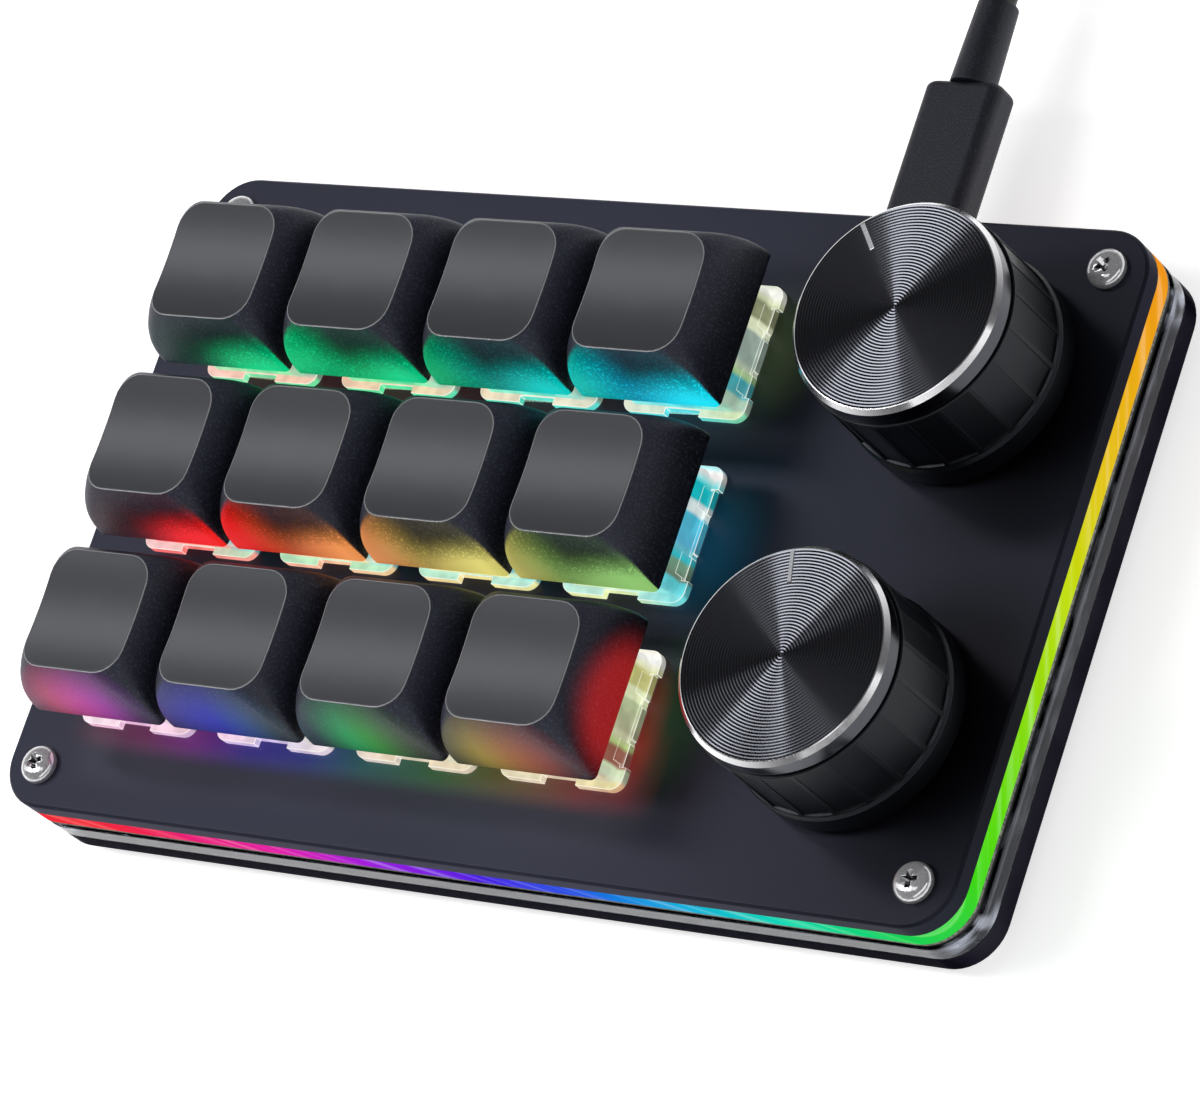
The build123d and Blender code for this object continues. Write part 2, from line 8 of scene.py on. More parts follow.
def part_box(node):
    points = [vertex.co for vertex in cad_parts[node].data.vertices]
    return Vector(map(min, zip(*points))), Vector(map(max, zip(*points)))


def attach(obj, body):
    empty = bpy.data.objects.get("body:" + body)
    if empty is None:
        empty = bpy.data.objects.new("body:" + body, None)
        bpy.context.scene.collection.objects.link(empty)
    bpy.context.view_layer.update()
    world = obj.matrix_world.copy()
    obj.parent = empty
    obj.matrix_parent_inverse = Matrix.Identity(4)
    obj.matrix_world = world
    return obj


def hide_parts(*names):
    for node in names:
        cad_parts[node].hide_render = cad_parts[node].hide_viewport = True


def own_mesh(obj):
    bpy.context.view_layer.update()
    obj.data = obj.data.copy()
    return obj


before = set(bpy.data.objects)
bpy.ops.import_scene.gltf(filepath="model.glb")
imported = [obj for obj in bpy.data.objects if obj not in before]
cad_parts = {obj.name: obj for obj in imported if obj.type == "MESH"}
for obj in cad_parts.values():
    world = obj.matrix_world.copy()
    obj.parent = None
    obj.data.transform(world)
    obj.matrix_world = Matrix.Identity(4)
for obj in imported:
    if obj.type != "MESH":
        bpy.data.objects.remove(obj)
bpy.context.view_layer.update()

mm = 0.001


# ---------------------------------------------------------------- camera and white table
# The keypad stands on a white table in a white room, seen from its front right corner and
# from above with a long lens. Soft boxes hang over it; one long box makes the knobs' sheen.
scene = bpy.context.scene
scene.view_settings.view_transform = "Standard"

camera_data = bpy.data.cameras.new("table_camera")
camera_data.lens = 183.18
camera_data.sensor_width = 36.0
camera_data.clip_start = 0.01
camera = bpy.data.objects.new("table_camera", camera_data)
scene.collection.objects.link(camera)
scene.camera = camera
camera.location = (0.38092, -0.19061, 0.49576)
aimed_at = Vector((0.00663, -0.00212, 0.0136))
camera_roll = math.radians(-50.55)
camera.rotation_mode = "QUATERNION"
looking = (aimed_at - camera.location).to_track_quat("-Z", "Y")
camera.rotation_quaternion = looking @ Quaternion((0, 0, 1), camera_roll)


class Paint:
    """One socket of a node material: sums and products of paints add its Math nodes."""

    def __init__(self, tree, socket=None):
        self.tree = tree
        self.socket = socket

    def node(self, kind, settings=None, inputs=None, output=0):
        """Any other node: its settings are made first, then its inputs are set or linked."""
        made = self.tree.nodes.new("ShaderNode" + kind)
        for name, value in (settings or {}).items():
            if name == "stops":
                made.color_ramp.elements.remove(made.color_ramp.elements[1])
                for stop, (at, colour) in enumerate(value):
                    ramp = made.color_ramp.elements
                    element = ramp[0] if stop == 0 else ramp.new(at)
                    element.position = at
                    element.color = tone(*colour)
            else:
                setattr(made, name, value)
        for key, value in (inputs or {}).items():
            if isinstance(value, Paint):
                self.tree.links.new(value.socket, made.inputs[key])
            else:
                made.inputs[key].default_value = value
        return Paint(self.tree, made.outputs[output])

    def math(self, operation, first, second=0.0):
        return self.node("Math", {"operation": operation}, {0: first, 1: second})

    def __add__(self, other):
        return self.math("ADD", self, other)

    def __radd__(self, other):
        return self.math("ADD", other, self)

    def __sub__(self, other):
        return self.math("SUBTRACT", self, other)

    def __rsub__(self, other):
        return self.math("SUBTRACT", other, self)

    def __mul__(self, other):
        return self.math("MULTIPLY", self, other)

    def __rmul__(self, other):
        return self.math("MULTIPLY", other, self)

    def __truediv__(self, other):
        return self.math("DIVIDE", self, other)

    def __pow__(self, other):
        return self.math("POWER", self, other)

    def __gt__(self, other):
        return self.math("GREATER_THAN", self, other)

    def largest(self, other):
        return self.math("MAXIMUM", self, other)

    def axis(self, name):
        """One coordinate of a vector."""
        return self.node("SeparateXYZ", None, {0: self}, output="XYZ".index(name))

    def times(self, factor):
        """A vector stretched by a number or, axis by axis, by three."""
        if isinstance(factor, tuple):
            return self.node("VectorMath", {"operation": "MULTIPLY"}, {0: self, 1: factor})
        return self.node("VectorMath", {"operation": "SCALE"}, {0: self, 3: factor})

    def rise(self, low, high):
        """A smooth step from 0 at low to 1 at high."""
        settings = {"interpolation_type": "SMOOTHSTEP"}
        return self.node("MapRange", settings, {0: self, 1: low, 2: high})

    def colours(self, *stops):
        """The colour that a number picks from a ramp."""
        return self.node("ValToRGB", {"stops": stops}, {0: self})

    def spread(self, low, high, stops):
        """The colour at a coordinate between low and high, from stops in millimetres."""
        span = high - low
        placed = [((at - low) / span, colour) for at, colour in stops]
        return ((self - low) / span).colours(*placed)

    def blend(self, first, second, way="MIX"):
        """From the first colour to the second, by this mask."""
        settings = {"data_type": "RGBA", "blend_type": way}
        return self.node("Mix", settings, {0: self, 6: first, 7: second}, output=2)

    def grain(self, size, detail=2.0):
        """Noise with lumps of about this size, in the units of this vector."""
        inputs = {"Vector": self, "Scale": 1.0 / size, "Detail": detail}
        return self.node("TexNoise", None, inputs)

    def relief(self, depth, strength=1.0):
        """The surface's direction, with this height pressed into it to a depth in millimetres."""
        inputs = {"Height": self, "Distance": depth * mm, "Strength": strength}
        return self.node("Bump", None, inputs)

    def feed(self, socket):
        """Lead this paint to a socket of the material's shader."""
        self.tree.links.new(self.socket, self.tree.nodes["Principled BSDF"].inputs[socket])


def tone(red, green, blue):
    """A colour as the eye reads it, from 0 to 255, in the linear light of a shader."""
    def linear(part):
        share = part / 255
        return share / 12.92 if share <= 0.04045 else ((share + 0.055) / 1.055) ** 2.4

    return (linear(red), linear(green), linear(blue), 1.0)


def white_seen(tree, lit_shader, seen_shader):
    """One shader for light that falls, another for what camera, gloss and glass see."""
    path = Paint(tree)
    rays = ("Camera", "Glossy", "Transmission")
    camera, glossy, clear = [path.node("LightPath", output=f"Is {ray} Ray") for ray in rays]
    seen = camera.largest(glossy).largest(clear)
    return path.node("MixShader", None, {0: seen, 1: lit_shader, 2: seen_shader})


room = bpy.data.worlds.new("white_room")
room.use_nodes = True
scene.world = room
room_tree = room.node_tree
room_paint = Paint(room_tree)
white = (1.0, 1.0, 1.0, 1.0)
room_level = 0.26
room_light = room_paint.node("Background", None, {0: white, 1: room_level})
height = room_paint.node("TexCoord", output="Generated").axis("Z")
camera_ray = room_paint.node("LightPath", output="Is Camera Ray")
ceiling = height.rise(0.0, 0.4) * (1.0 - camera_ray)
room_look = ceiling.blend(white, (0.1, 0.1, 0.105, 1.0))
room_seen = room_paint.node("Background", None, {0: room_look, 1: 1.0})
shown = white_seen(room_tree, room_light, room_seen)
room_tree.links.new(shown.socket, room_tree.nodes["World Output"].inputs[0])

table_size = 6.0
table_glow = 0.62
bpy.ops.mesh.primitive_plane_add(size=table_size)
table = bpy.context.object
table.name = "white_table"
table_paper = bpy.data.materials.new("table_paper")
table_paper.use_nodes = True
table_tree = table_paper.node_tree
table_paint = Paint(table_tree)
paper = table_paint.node("BsdfDiffuse", None, {0: (0.85, 0.85, 0.86, 1.0)})
lit_paper = table_paint.node("Emission", None, {0: white, 1: table_glow})
bright_paper = table_paint.node("AddShader", None, {0: paper, 1: lit_paper})
shown = white_seen(table_tree, paper, bright_paper)
table_tree.links.new(shown.socket, table_tree.nodes["Material Output"].inputs[0])
table.data.materials.append(table_paper)


def soft_box(name, towards, distance, width, length, power, turn=0.0):
    """A rectangular lamp over the keypad that faces it."""
    lamp = bpy.data.lights.new(name, "AREA")
    lamp.shape = "RECTANGLE"
    lamp.size = width
    lamp.size_y = length
    lamp.energy = power
    box = bpy.data.objects.new(name, lamp)
    scene.collection.objects.link(box)
    box.location = Vector(towards).normalized() * distance
    box.rotation_mode = "QUATERNION"
    facing = (-box.location).to_track_quat("-Z", "Y")
    box.rotation_quaternion = facing @ Quaternion((0, 0, 1), turn)


soft_box("sheen_box", (-0.586, 0.295, 0.755), 2.0, 0.24, 0.8, 2.45, math.radians(21))
behind_left, box_turn = (-0.535, -0.143, 0.833), math.radians(-20.5)
soft_box("ring_box", behind_left, 0.873, 0.2, 0.5, 2.3, box_turn)
soft_box("haze_box", behind_left, 0.88, 0.22, 1.4, 1.1, box_turn)
soft_box("camera_box", (0.6, -0.42, 0.62), 1.0, 1.7, 0.3, 1.8)


# ---------------------------------------------------------------- cable and its coil
# One round PVC lead: it leaves the plug's boot, sinks to the table and is wound in three
# columns and four layers; its last turn comes down outside the coil to the far plug.
cable_radius = 1.7
cable_exit = Vector((30.15, 66.3, 8.5))
table_lie = 2.3
coil_from_exit = 45.0
coil_mean = 19.0
strand = 2 * cable_radius
outer_turn = coil_mean + strand
coil_middle = Vector((cable_exit.x - outer_turn, cable_exit.y + coil_from_exit, 0.0))
plug_middle = 4.0
steps_per_turn = 24
jog_steps = 4
first_jog = 20
leaving_step = 6
drop_steps = 10
drop_level = 5.0


def finish(name, **sockets):
    """A node material with these values all over, and the place on it in millimetres."""
    material = bpy.data.materials.new(name)
    material.use_nodes = True
    shader = material.node_tree.nodes["Principled BSDF"]
    for socket, value in sockets.items():
        shader.inputs[socket.replace("_", " ")].default_value = value
    place = Paint(material.node_tree).node("TexCoord", output="Object").times(1.0 / mm)
    return material, place


def moulded(name, colour, roughness, grain_size, grain_depth, flecks=0.0, **sockets):
    """Moulded plastic or rubber: a fine even grain, with cloudy colour and gloss."""
    material, place = finish(name, **sockets)
    clouds = place.grain(6.0)
    darker = tuple(0.78 * part for part in colour[:3]) + (1.0,)
    lighter = tuple(3.2 * part for part in colour[:3]) + (1.0,)
    pits = place.grain(grain_size, 3.0)
    cloudy = clouds.rise(0.3, 0.7).blend(darker, colour)
    (flecks * pits.rise(0.5, 0.72)).blend(cloudy, lighter).feed("Base Color")
    (roughness - 0.05 + 0.06 * clouds + 0.04 * pits).feed("Roughness")
    pits.relief(grain_depth).feed("Normal")
    return material


jacket_finish = moulded("cable_pvc", tone(24, 24, 27), 0.45, 0.25, 0.012)


def eased(share):
    """A share from 0 to 1, slowed at both ends."""
    return share * share * (3 - 2 * share)


def wound_coil():
    """The coil's line, step by step: each layer jogs in or out by a strand, then rises."""
    columns = [outer_turn, coil_mean, coil_mean - strand]
    radii = columns + columns[::-1] + columns + columns[::-1]
    stops = []
    at = 0
    for turn, radius in enumerate(radii[:-1]):
        layer = turn // 3
        rises = turn % 3 == 2
        jog = (first_jog - jog_steps * (layer + rises)) % steps_per_turn
        at += 1
        while at % steps_per_turn != jog:
            at += 1
        stops.append((at, radius, radii[turn + 1], layer, rises))
    last = at + jog_steps
    while last % steps_per_turn != leaving_step:
        last += 1
    line = []
    for step in range(last + 1):
        radius, level = radii[0], 0.0
        for start, before, after, layer, rises in stops:
            share = eased(min(1.0, max(0.0, (step - start) / jog_steps)))
            if step >= start:
                radius = before + (after - before) * share
                level = layer + (share if rises else 0.0)
        height = table_lie + strand * level
        down = (step - (last - drop_steps)) / drop_steps
        if down > 0:
            radius += strand * eased(min(1.0, down * 2.5))
            fall = min(1.0, max(0.0, (down - 0.1) / 0.9))
            height += (drop_level - height) * fall
        angle = 2 * math.pi * step / steps_per_turn
        around = Vector((math.cos(angle) * radius, math.sin(angle) * radius, height))
        line.append(coil_middle + around)
    return line


lead_route = [
    cable_exit,
    cable_exit + Vector((0.0, 7.0, 0.0)),
    Vector((cable_exit.x + 0.1, cable_exit.y + 16.0, 5.2)),
    Vector((cable_exit.x, cable_exit.y + 26.0, table_lie + 0.3)),
    Vector((cable_exit.x + 0.2, cable_exit.y + 36.0, table_lie)),
]
tail_y = coil_middle.y + outer_turn + strand
tail_route = [
    Vector((coil_middle.x - 9.0, tail_y + 0.2, 3.6)),
    Vector((coil_middle.x - 18.0, tail_y, plug_middle)),
    Vector((coil_middle.x - 26.0, tail_y, plug_middle)),
]
cable_line = lead_route + wound_coil() + tail_route
cable_curve = bpy.data.curves.new("usb_lead", "CURVE")
cable_curve.dimensions = "3D"
cable_curve.bevel_depth = cable_radius * mm
cable_curve.bevel_resolution = 4
cable_curve.resolution_u = 3
cable_curve.use_fill_caps = True
cable_spline = cable_curve.splines.new("NURBS")
cable_spline.points.add(len(cable_line) - 1)
for point, place in zip(cable_spline.points, cable_line):
    point.co = (*(place * mm), 1.0)
cable_spline.order_u = 3
cable_spline.use_endpoint_u = True
usb_lead = bpy.data.objects.new("usb_lead", cable_curve)
scene.collection.objects.link(usb_lead)
usb_lead.data.materials.append(jacket_finish)
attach(usb_lead, "base")
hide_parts("usb_cable", "cable_coil", "cable_tail")


def new_piece(name, mesh, finishes, body, slot, *nodes):
    """Put a mesh in the scene as a piece that rides on a body and stands for some nodes."""
    piece = bpy.data.objects.new(name, mesh)
    scene.collection.objects.link(piece)
    for finish_used in finishes:
        mesh.materials.append(finish_used)
    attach(piece, body)
    if nodes:
        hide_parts(*nodes)
    return piece


def even_faces(piece):
    """Let the large faces set the shading, so that narrow ones beside them don't smear it."""
    flat = piece.modifiers.new("flat faces", "WEIGHTED_NORMAL")
    flat.keep_sharp = True
    flat.weight = 80


weld = 0.0005 * mm


def copy_of(node):
    """A solid's mesh without its material, and the same as a bmesh to work on."""
    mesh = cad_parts[node].data.copy()
    mesh.materials.clear()
    shape = bmesh.new()
    shape.from_mesh(mesh)
    return mesh, shape


def join_faces(shape):
    """Make one face of all the triangles that lie in one plane."""
    bmesh.ops.dissolve_limit(
        shape, angle_limit=math.radians(0.6), verts=shape.verts, edges=shape.edges
    )


def softened(node, finishes, body, slot, edge, name=None, angle=32):
    """A solid with its hard edges rounded over; a second finish goes onto those edges."""
    mesh, shape = copy_of(node)
    bmesh.ops.remove_doubles(shape, verts=shape.verts, dist=weld)
    join_faces(shape)
    shape.to_mesh(mesh)
    shape.free()
    mesh.shade_smooth()
    piece = new_piece(name or node + "_piece", mesh, finishes, body, slot, node)
    rounding = piece.modifiers.new("rounded edges", "BEVEL")
    rounding.width = edge * mm
    rounding.segments = 2
    rounding.limit_method = "ANGLE"
    rounding.angle_limit = math.radians(angle)
    if len(finishes) > 1:
        rounding.material = 1
    rounding.loop_slide = False
    even_faces(piece)
    return piece


# The plugs and the boot are one black moulding each, over nickel plated steel shells.
plug_finish = moulded(
    "plug_moulding", tone(25, 26, 33), 0.5, 0.22, 0.05, 0.8, Specular_Tint=(0.85, 0.88, 1.0, 1.0)
)
usb_plug = softened("usb_plug", [plug_finish], "base", "cable_moulding", 0.35)
cable_boot = softened("cable_relief", [plug_finish], "base", "cable_moulding", 0.2)
host_plug = softened("host_plug", [plug_finish], "base", "cable_moulding", 0.3)


def plated(name, colour, roughness, brush, metal=1.0):
    """Plated or turned metal, with the fine lines that the tool or drawing leaves."""
    material, place = finish(name, Metallic=metal)
    lines = place.times(brush).grain(1.0, 4.0)
    dull = tuple(0.7 * part for part in colour[:3]) + (1.0,)
    lines.rise(0.25, 0.75).blend(dull, colour).feed("Base Color")
    (roughness + 0.16 * lines).feed("Roughness")
    lines.relief(0.004).feed("Normal")
    return material


shell_finish = plated("plug_nickel", (0.62, 0.61, 0.6, 1.0), 0.16, (1.0, 9.0, 9.0))
usb_plug_shell = softened("usb_plug_shell", [shell_finish], "base", "socket_steel", 0.08)
host_plug_shell = softened("host_plug_shell", [shell_finish], "base", "socket_steel", 0.08)
softened("usb_socket", [shell_finish], "base", "socket_steel", 0.05)


# ---------------------------------------------------------------- strap on the coil
# A woven hook and loop strap, 10 mm wide, wrapped once round the coil's side with its end
# lapped over its start.
strap_low, strap_high = [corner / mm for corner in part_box("cable_tie")]
strap_thick = 0.6
strap_corner = 2.2


def round_rectangle(width, depth, corner, side_steps=1, corner_steps=6):
    """A rectangle with round corners, about its middle: as many points whatever its size."""
    arcs = []
    for quarter, (sx, sy) in enumerate(((1, 1), (-1, 1), (-1, -1), (1, -1))):
        middle = Vector((sx * (width / 2 - corner), sy * (depth / 2 - corner)))
        arc = []
        for step in range(corner_steps + 1):
            angle = math.pi / 2 * (quarter + step / corner_steps)
            arc.append(middle + Vector((math.cos(angle), math.sin(angle))) * corner)
        arcs.append(arc)
    points = []
    for arc, following in zip(arcs, arcs[1:] + arcs[:1]):
        side = [arc[-1].lerp(following[0], k / side_steps) for k in range(1, side_steps)]
        points += arc + side
    return points


def bridge(shape, rings, loop=False):
    """Faces between rings of points, each ring closed on itself."""
    pairs = list(zip(rings, rings[1:] + rings[:1] if loop else rings[1:]))
    for low, high in pairs:
        count = len(low)
        for k in range(count):
            corners = (low[k], low[(k + 1) % count], high[(k + 1) % count], high[k])
            shape.faces.new(corners)


def mesh_of(shape, name, smooth=True):
    """Close a bmesh into a mesh in metres, with its faces turned outward."""
    bmesh.ops.recalc_face_normals(shape, faces=shape.faces)
    bmesh.ops.scale(shape, vec=(mm, mm, mm), verts=shape.verts)
    mesh = bpy.data.meshes.new(name)
    shape.to_mesh(mesh)
    shape.free()
    if smooth:
        mesh.shade_smooth()
    return mesh


strap_shape = bmesh.new()
strap_middle = (strap_low + strap_high) / 2
strap_size = strap_high - strap_low
strap_rings = []
for inset, side in ((0, -1), (0, 1), (strap_thick, 1), (strap_thick, -1)):
    ring = []
    width = strap_size.x - 2 * inset
    height = strap_size.z - 2 * inset
    for x, z in round_rectangle(width, height, strap_corner - inset):
        y = side * strap_size.y / 2
        ring.append(strap_shape.verts.new(strap_middle + Vector((x, y, z))))
    strap_rings.append(ring)
bridge(strap_shape, strap_rings, loop=True)
strap_finish, strap_place = finish("strap_weave", Roughness=0.95, Sheen_Weight=0.5)
ribs = strap_place.times((0.0, 1.0, 0.0)).node(
    "TexWave", {"bands_direction": "Y"}, {"Vector": strap_place, "Scale": 0.9}
)
ribs.colours((0.0, (18, 18, 20)), (1.0, (44, 44, 48))).feed("Base Color")
(ribs + strap_place.grain(0.3)).relief(0.15).feed("Normal")
cable_strap = new_piece(
    "cable_strap", mesh_of(strap_shape, "cable_strap"), [strap_finish], "base",
    "strap_fabric", "cable_tie",
)


# ---------------------------------------------------------------- face plate
# A 2.3 mm aluminium plate, blasted and anodised black, with a hole for each switch and
# encoder. The faint colour of the lamps under the switches beside the keys is painted into its
# emission, and painted shade darkens it beside the knobs and towards its right side.
column_x = [-45.35, -26.3, -7.25, 11.8]
row_y = [21.3, 0.3, -20.7]
face_top = 13.6
flange_half = 7.8
row_left, row_right = -56.0, 24.0
black = (0.0, 0.0, 0.0, 1.0)


def along_row(x, stops):
    """A ramp of colours along a row of keys, its stops at places in millimetres."""
    return x.spread(row_left, row_right, stops)


def lobe(u, v, middle_u, middle_v, reach_u, reach_v):
    """A soft oval of light, 1 in its middle and 0 from its rim outward."""
    across = (u - middle_u) / reach_u
    up = (v - middle_v) / reach_v
    return (1.0 - across * across - up * up).largest(0.0) ** 2.0


face_finish, face_place = finish(
    "anodised_face", Specular_Tint=(0.35, 0.35, 0.4, 1.0), Emission_Strength=1.0
)
face_clouds = face_place.grain(28.0, 1.0)
face_colour_and_shade = face_clouds.rise(0.3, 0.7).blend(tone(45, 47, 60), tone(51, 53, 67))
face_x = face_place.axis("X")
face_y = face_place.axis("Y")
# Painted shade: the plate's colour darkens towards its right side.
face_colour_and_shade = face_x.rise(0.0, 60.0).blend(face_colour_and_shade, tone(36, 38, 48))
# Painted shade: two soft ovals beside the knobs darken the plate almost to black.
painted_knob_shade = lobe(face_x, face_y, 55.0, -17.0, 16.0, 25.0)
painted_knob_shade = painted_knob_shade.largest(lobe(face_x, face_y, 53.0, 16.0, 16.0, 21.0))
(0.95 * painted_knob_shade).blend(face_colour_and_shade, tone(2, 2, 3)).feed("Base Color")
face_up = face_place.node("NewGeometry", output="Normal").axis("Z").rise(0.3, 0.9)
(0.78 - 0.33 * face_up).feed("Metallic")
blasting = face_place.grain(0.16, 2.0)
(0.3 + 0.06 * face_clouds + 0.05 * blasting).feed("Roughness")
blasting.relief(0.006).feed("Normal")
# Painted light: bands of lamp colour in front of the back and the front row of keys, and a faint
# grey band further in front, go into the plate's emission.
painted_row_glow = [
    (-28.9, -31.8, [(-52, (60, 10, 16)), (-44, (84, 8, 60)), (-38, (90, 4, 96)),
                    (-30, (30, 4, 110)), (-22, (6, 20, 100)), (-14, (4, 70, 66)),
                    (-4, (26, 74, 10)), (6, (80, 62, 6)), (14, (96, 26, 8)),
                    (20, (70, 8, 6)), (24, (0, 0, 0))]),
    (-32.0, -36.5, [(-56, (0, 0, 0)), (-50, (30, 30, 32)), (18, (30, 30, 32)), (24, (0, 0, 0))]),
    (12.5, 9.0, [(-56, (40, 10, 12)), (-30, (44, 8, 6)), (-6, (30, 10, 4)),
                 (14, (8, 20, 22)), (22, (0, 0, 0))]),
]
painted_plate_glow = face_place.node("RGB")
painted_plate_glow.socket.default_value = black
for near_y, far_y, stops in painted_row_glow:
    band = face_y.rise(far_y, near_y) * (1.0 - face_y.rise(near_y + 5.0, near_y + 9.0))
    band = band * face_x.rise(row_left, row_left + 6.0)
    painted_plate_glow = band.blend(painted_plate_glow, along_row(face_x, stops), "ADD")
# Painted light: soft coloured ovals of lamp light beside the right column of keys.
painted_side_glow = [
    (20.5, 22.0, 7.5, 10.0, (34, 44, 16)),
    (20.5, -1.0, 8.5, 10.5, (0, 44, 62)),
    (19.2, -21.6, 3.4, 9.6, (92, 8, 6)),
    (22.5, -19.5, 7.0, 12.0, (12, 38, 14)),
]
for x, y, reach_x, reach_y, colour in painted_side_glow:
    painted_glow_patch = lobe(face_x, face_y, x, y, reach_x, reach_y)
    painted_plate_glow = painted_glow_patch.blend(painted_plate_glow, tone(*colour), "ADD")
painted_plate_glow.feed("Emission Color")
softened("top_plate", [face_finish], "base", "black_face", 0.12)


# ---------------------------------------------------------------- lit edge
# A ring of milky acrylic on the circuit board, lit from inside by colour lamps that step
# round the hues. Its lowest half millimetre is in the board's shade, painted there as a dim grey
# glow.
lit_hues = [
    (0.0, (255, 96, 30)), (0.11, (250, 50, 36)), (0.15, (246, 34, 70)),
    (0.19, (232, 24, 170)), (0.22, (160, 26, 226)), (0.26, (70, 30, 232)),
    (0.29, (20, 84, 232)), (0.32, (14, 180, 224)), (0.345, (10, 222, 180)),
    (0.365, (10, 214, 90)), (0.39, (64, 222, 14)), (0.44, (136, 226, 8)),
    (0.5, (200, 226, 8)), (0.55, (232, 200, 16)), (0.60, (244, 168, 18)),
    (0.64, (248, 138, 24)), (0.70, (250, 100, 34)), (0.78, (250, 50, 90)),
    (0.85, (226, 34, 180)), (0.92, (250, 50, 90)), (1.0, (255, 96, 30)),
]
plate_half_x, plate_half_y = 61.75, 38.5
guide_low = 8.6
guide_finish, guide_place = finish(
    "lit_acrylic", Base_Color=tone(20, 20, 20), Roughness=0.3, Specular_IOR_Level=0.0,
    Emission_Strength=1.0,
)
round_edge = guide_place.math(
    "ARCTAN2", guide_place.axis("Y") / plate_half_y, guide_place.axis("X") / plate_half_x
)
hue = (round_edge / (2 * math.pi) + 0.5).colours(*lit_hues)
slanted = guide_place.axis("X") - guide_place.axis("Y") + 1.6 * guide_place.axis("Z")
streaks = slanted.node(
    "TexNoise", {"noise_dimensions": "1D"}, {"W": slanted, "Scale": 0.3, "Detail": 2.0}
)
bright_hue = (0.12 * streaks.rise(0.45, 0.75)).blend(hue, tone(255, 255, 225))
level = (0.86 + 0.2 * streaks).blend(black, bright_hue)
lit = guide_place.axis("Z").rise(guide_low + 0.42, guide_low + 0.5)
# Painted shade: under the lit band, the lowest half millimetre glows a dim speckled grey.
shaded_band = guide_place.grain(0.35).rise(0.3, 0.7).blend(tone(72, 74, 70), tone(134, 134, 124))
lit.blend(shaded_band, level).feed("Emission Color")
softened("light_guide", [guide_finish], "base", "lit_guide", 0.1)


# ---------------------------------------------------------------- clear frame
# A ring of polished clear acrylic between the circuit board and the bottom plate; the posts
# and the board's edge show through it. Painted glints at its corners and along its right side,
# and a painted sheen line, go into its emission.
clear_finish, clear_place = finish(
    "clear_acrylic", Transmission_Weight=1.0, IOR=1.49, Base_Color=(0.8, 0.82, 0.88, 1.0),
    Specular_Tint=(0.5, 0.53, 0.7, 1.0), Emission_Strength=1.0,
)
saw_marks = clear_place.times((0.15, 0.15, 1.5)).grain(1.0, 2.0)
(0.02 + 0.03 * saw_marks).feed("Roughness")
from_middle_x = clear_place.math("ABSOLUTE", clear_place.axis("X"))
from_middle_y = clear_place.math("ABSOLUTE", clear_place.axis("Y"))
# Painted glints and sheen: light patches at the corners, wavy ones along the right side and a
# thin line round the ring glow from its emission.
corners = from_middle_x.rise(plate_half_x - 7.5, plate_half_x - 4.0)
corners = corners * from_middle_y.rise(plate_half_y - 7.5, plate_half_y - 4.0)
painted_corner_glints = corners * clear_place.times((1.0, 1.0, 1.3)).grain(3.0, 0.5).rise(0.48, 0.66)
clear_z = clear_place.axis("Z")
painted_sheen_line = clear_z.rise(6.7, 6.8) * (1.0 - clear_z.rise(7.1, 7.2))
right_side = from_middle_x.rise(plate_half_x - 1.0, plate_half_x - 0.5) * (1.0 - corners)
painted_wave_glints = clear_place.times((1.0, 0.4, 1.0)).grain(1.6, 2.0).rise(0.5, 0.66)
painted_glints = 0.42 * painted_corner_glints + 0.05 * right_side * painted_wave_glints + 0.09 * painted_sheen_line * (0.4 + saw_marks)
painted_glints.blend(black, (0.62, 0.65, 0.75, 1.0)).feed("Emission Color")
softened("clear_frame", [clear_finish], "base", "clear_acrylic", 0.15)


# ---------------------------------------------------------------- bottom plate, board and posts
# The bottom plate is a second black anodised plate. The board is black glass fibre between
# the rings, and a threaded post stands in each corner.
base_finish = moulded(
    "anodised_base", tone(46, 45, 53), 0.36, 0.16, 0.006, Metallic=1.0,
    Specular_Tint=(0.3, 0.3, 0.32, 1.0),
)
softened("bottom_plate", [base_finish], "base", "black_base", 0.12)
board_finish = moulded("board_mask", tone(16, 20, 18), 0.3, 0.5, 0.01)
softened("circuit_board", [board_finish], "base", "black_board", 0.05)
post_finish = plated("post_nickel", (0.7, 0.69, 0.66, 1.0), 0.2, (4.0, 4.0, 14.0))
softened("corner_posts", [post_finish], "base", "post_nickel", 0.1)
foot_finish = moulded("foot_rubber", tone(30, 30, 31), 0.75, 0.4, 0.03)
softened("rubber_feet", [foot_finish], "base", "foot_rubber", 0.2)


# ---------------------------------------------------------------- screws
# Zinc plated steel screws with a pan head and a cross recess: four go through each plate
# into the threaded posts.
screw_finish = plated("zinc_plate", (0.93, 0.93, 0.95, 1.0), 0.03, (4.0, 4.0, 4.0), 0.65)
# Painted shade: the cross recess is plated darker than the head.
recess_shade_finish = plated("zinc_recess_shade", (0.2, 0.2, 0.21, 1.0), 0.12, (4.0, 4.0, 4.0))
screw_radius = 2.2
screw_height = 1.5
shank_radius = 1.2
shank_length = 4.2
recess_depth = 0.85
recess_bottom, recess_mouth = (0.4, 0.16), (1.22, 0.36)
recess_reach = 1.3
screw_inset = 4.7
first_turn, next_turn = 25, 37


def circle(radius, steps):
    """Points round a circle, as pairs."""
    angles = [2 * math.pi * step / steps for step in range(steps)]
    return [(radius * math.cos(angle), radius * math.sin(angle)) for angle in angles]


def turned(shape, outline, steps=48):
    """A turned form: the outline's radius and height at each point, carried round the axis."""
    rings = [
        [shape.verts.new((u, v, height)) for u, v in circle(radius, steps)]
        for radius, height in outline
    ]
    bridge(shape, rings)
    shape.faces.new(rings[0])
    shape.faces.new(rings[-1])


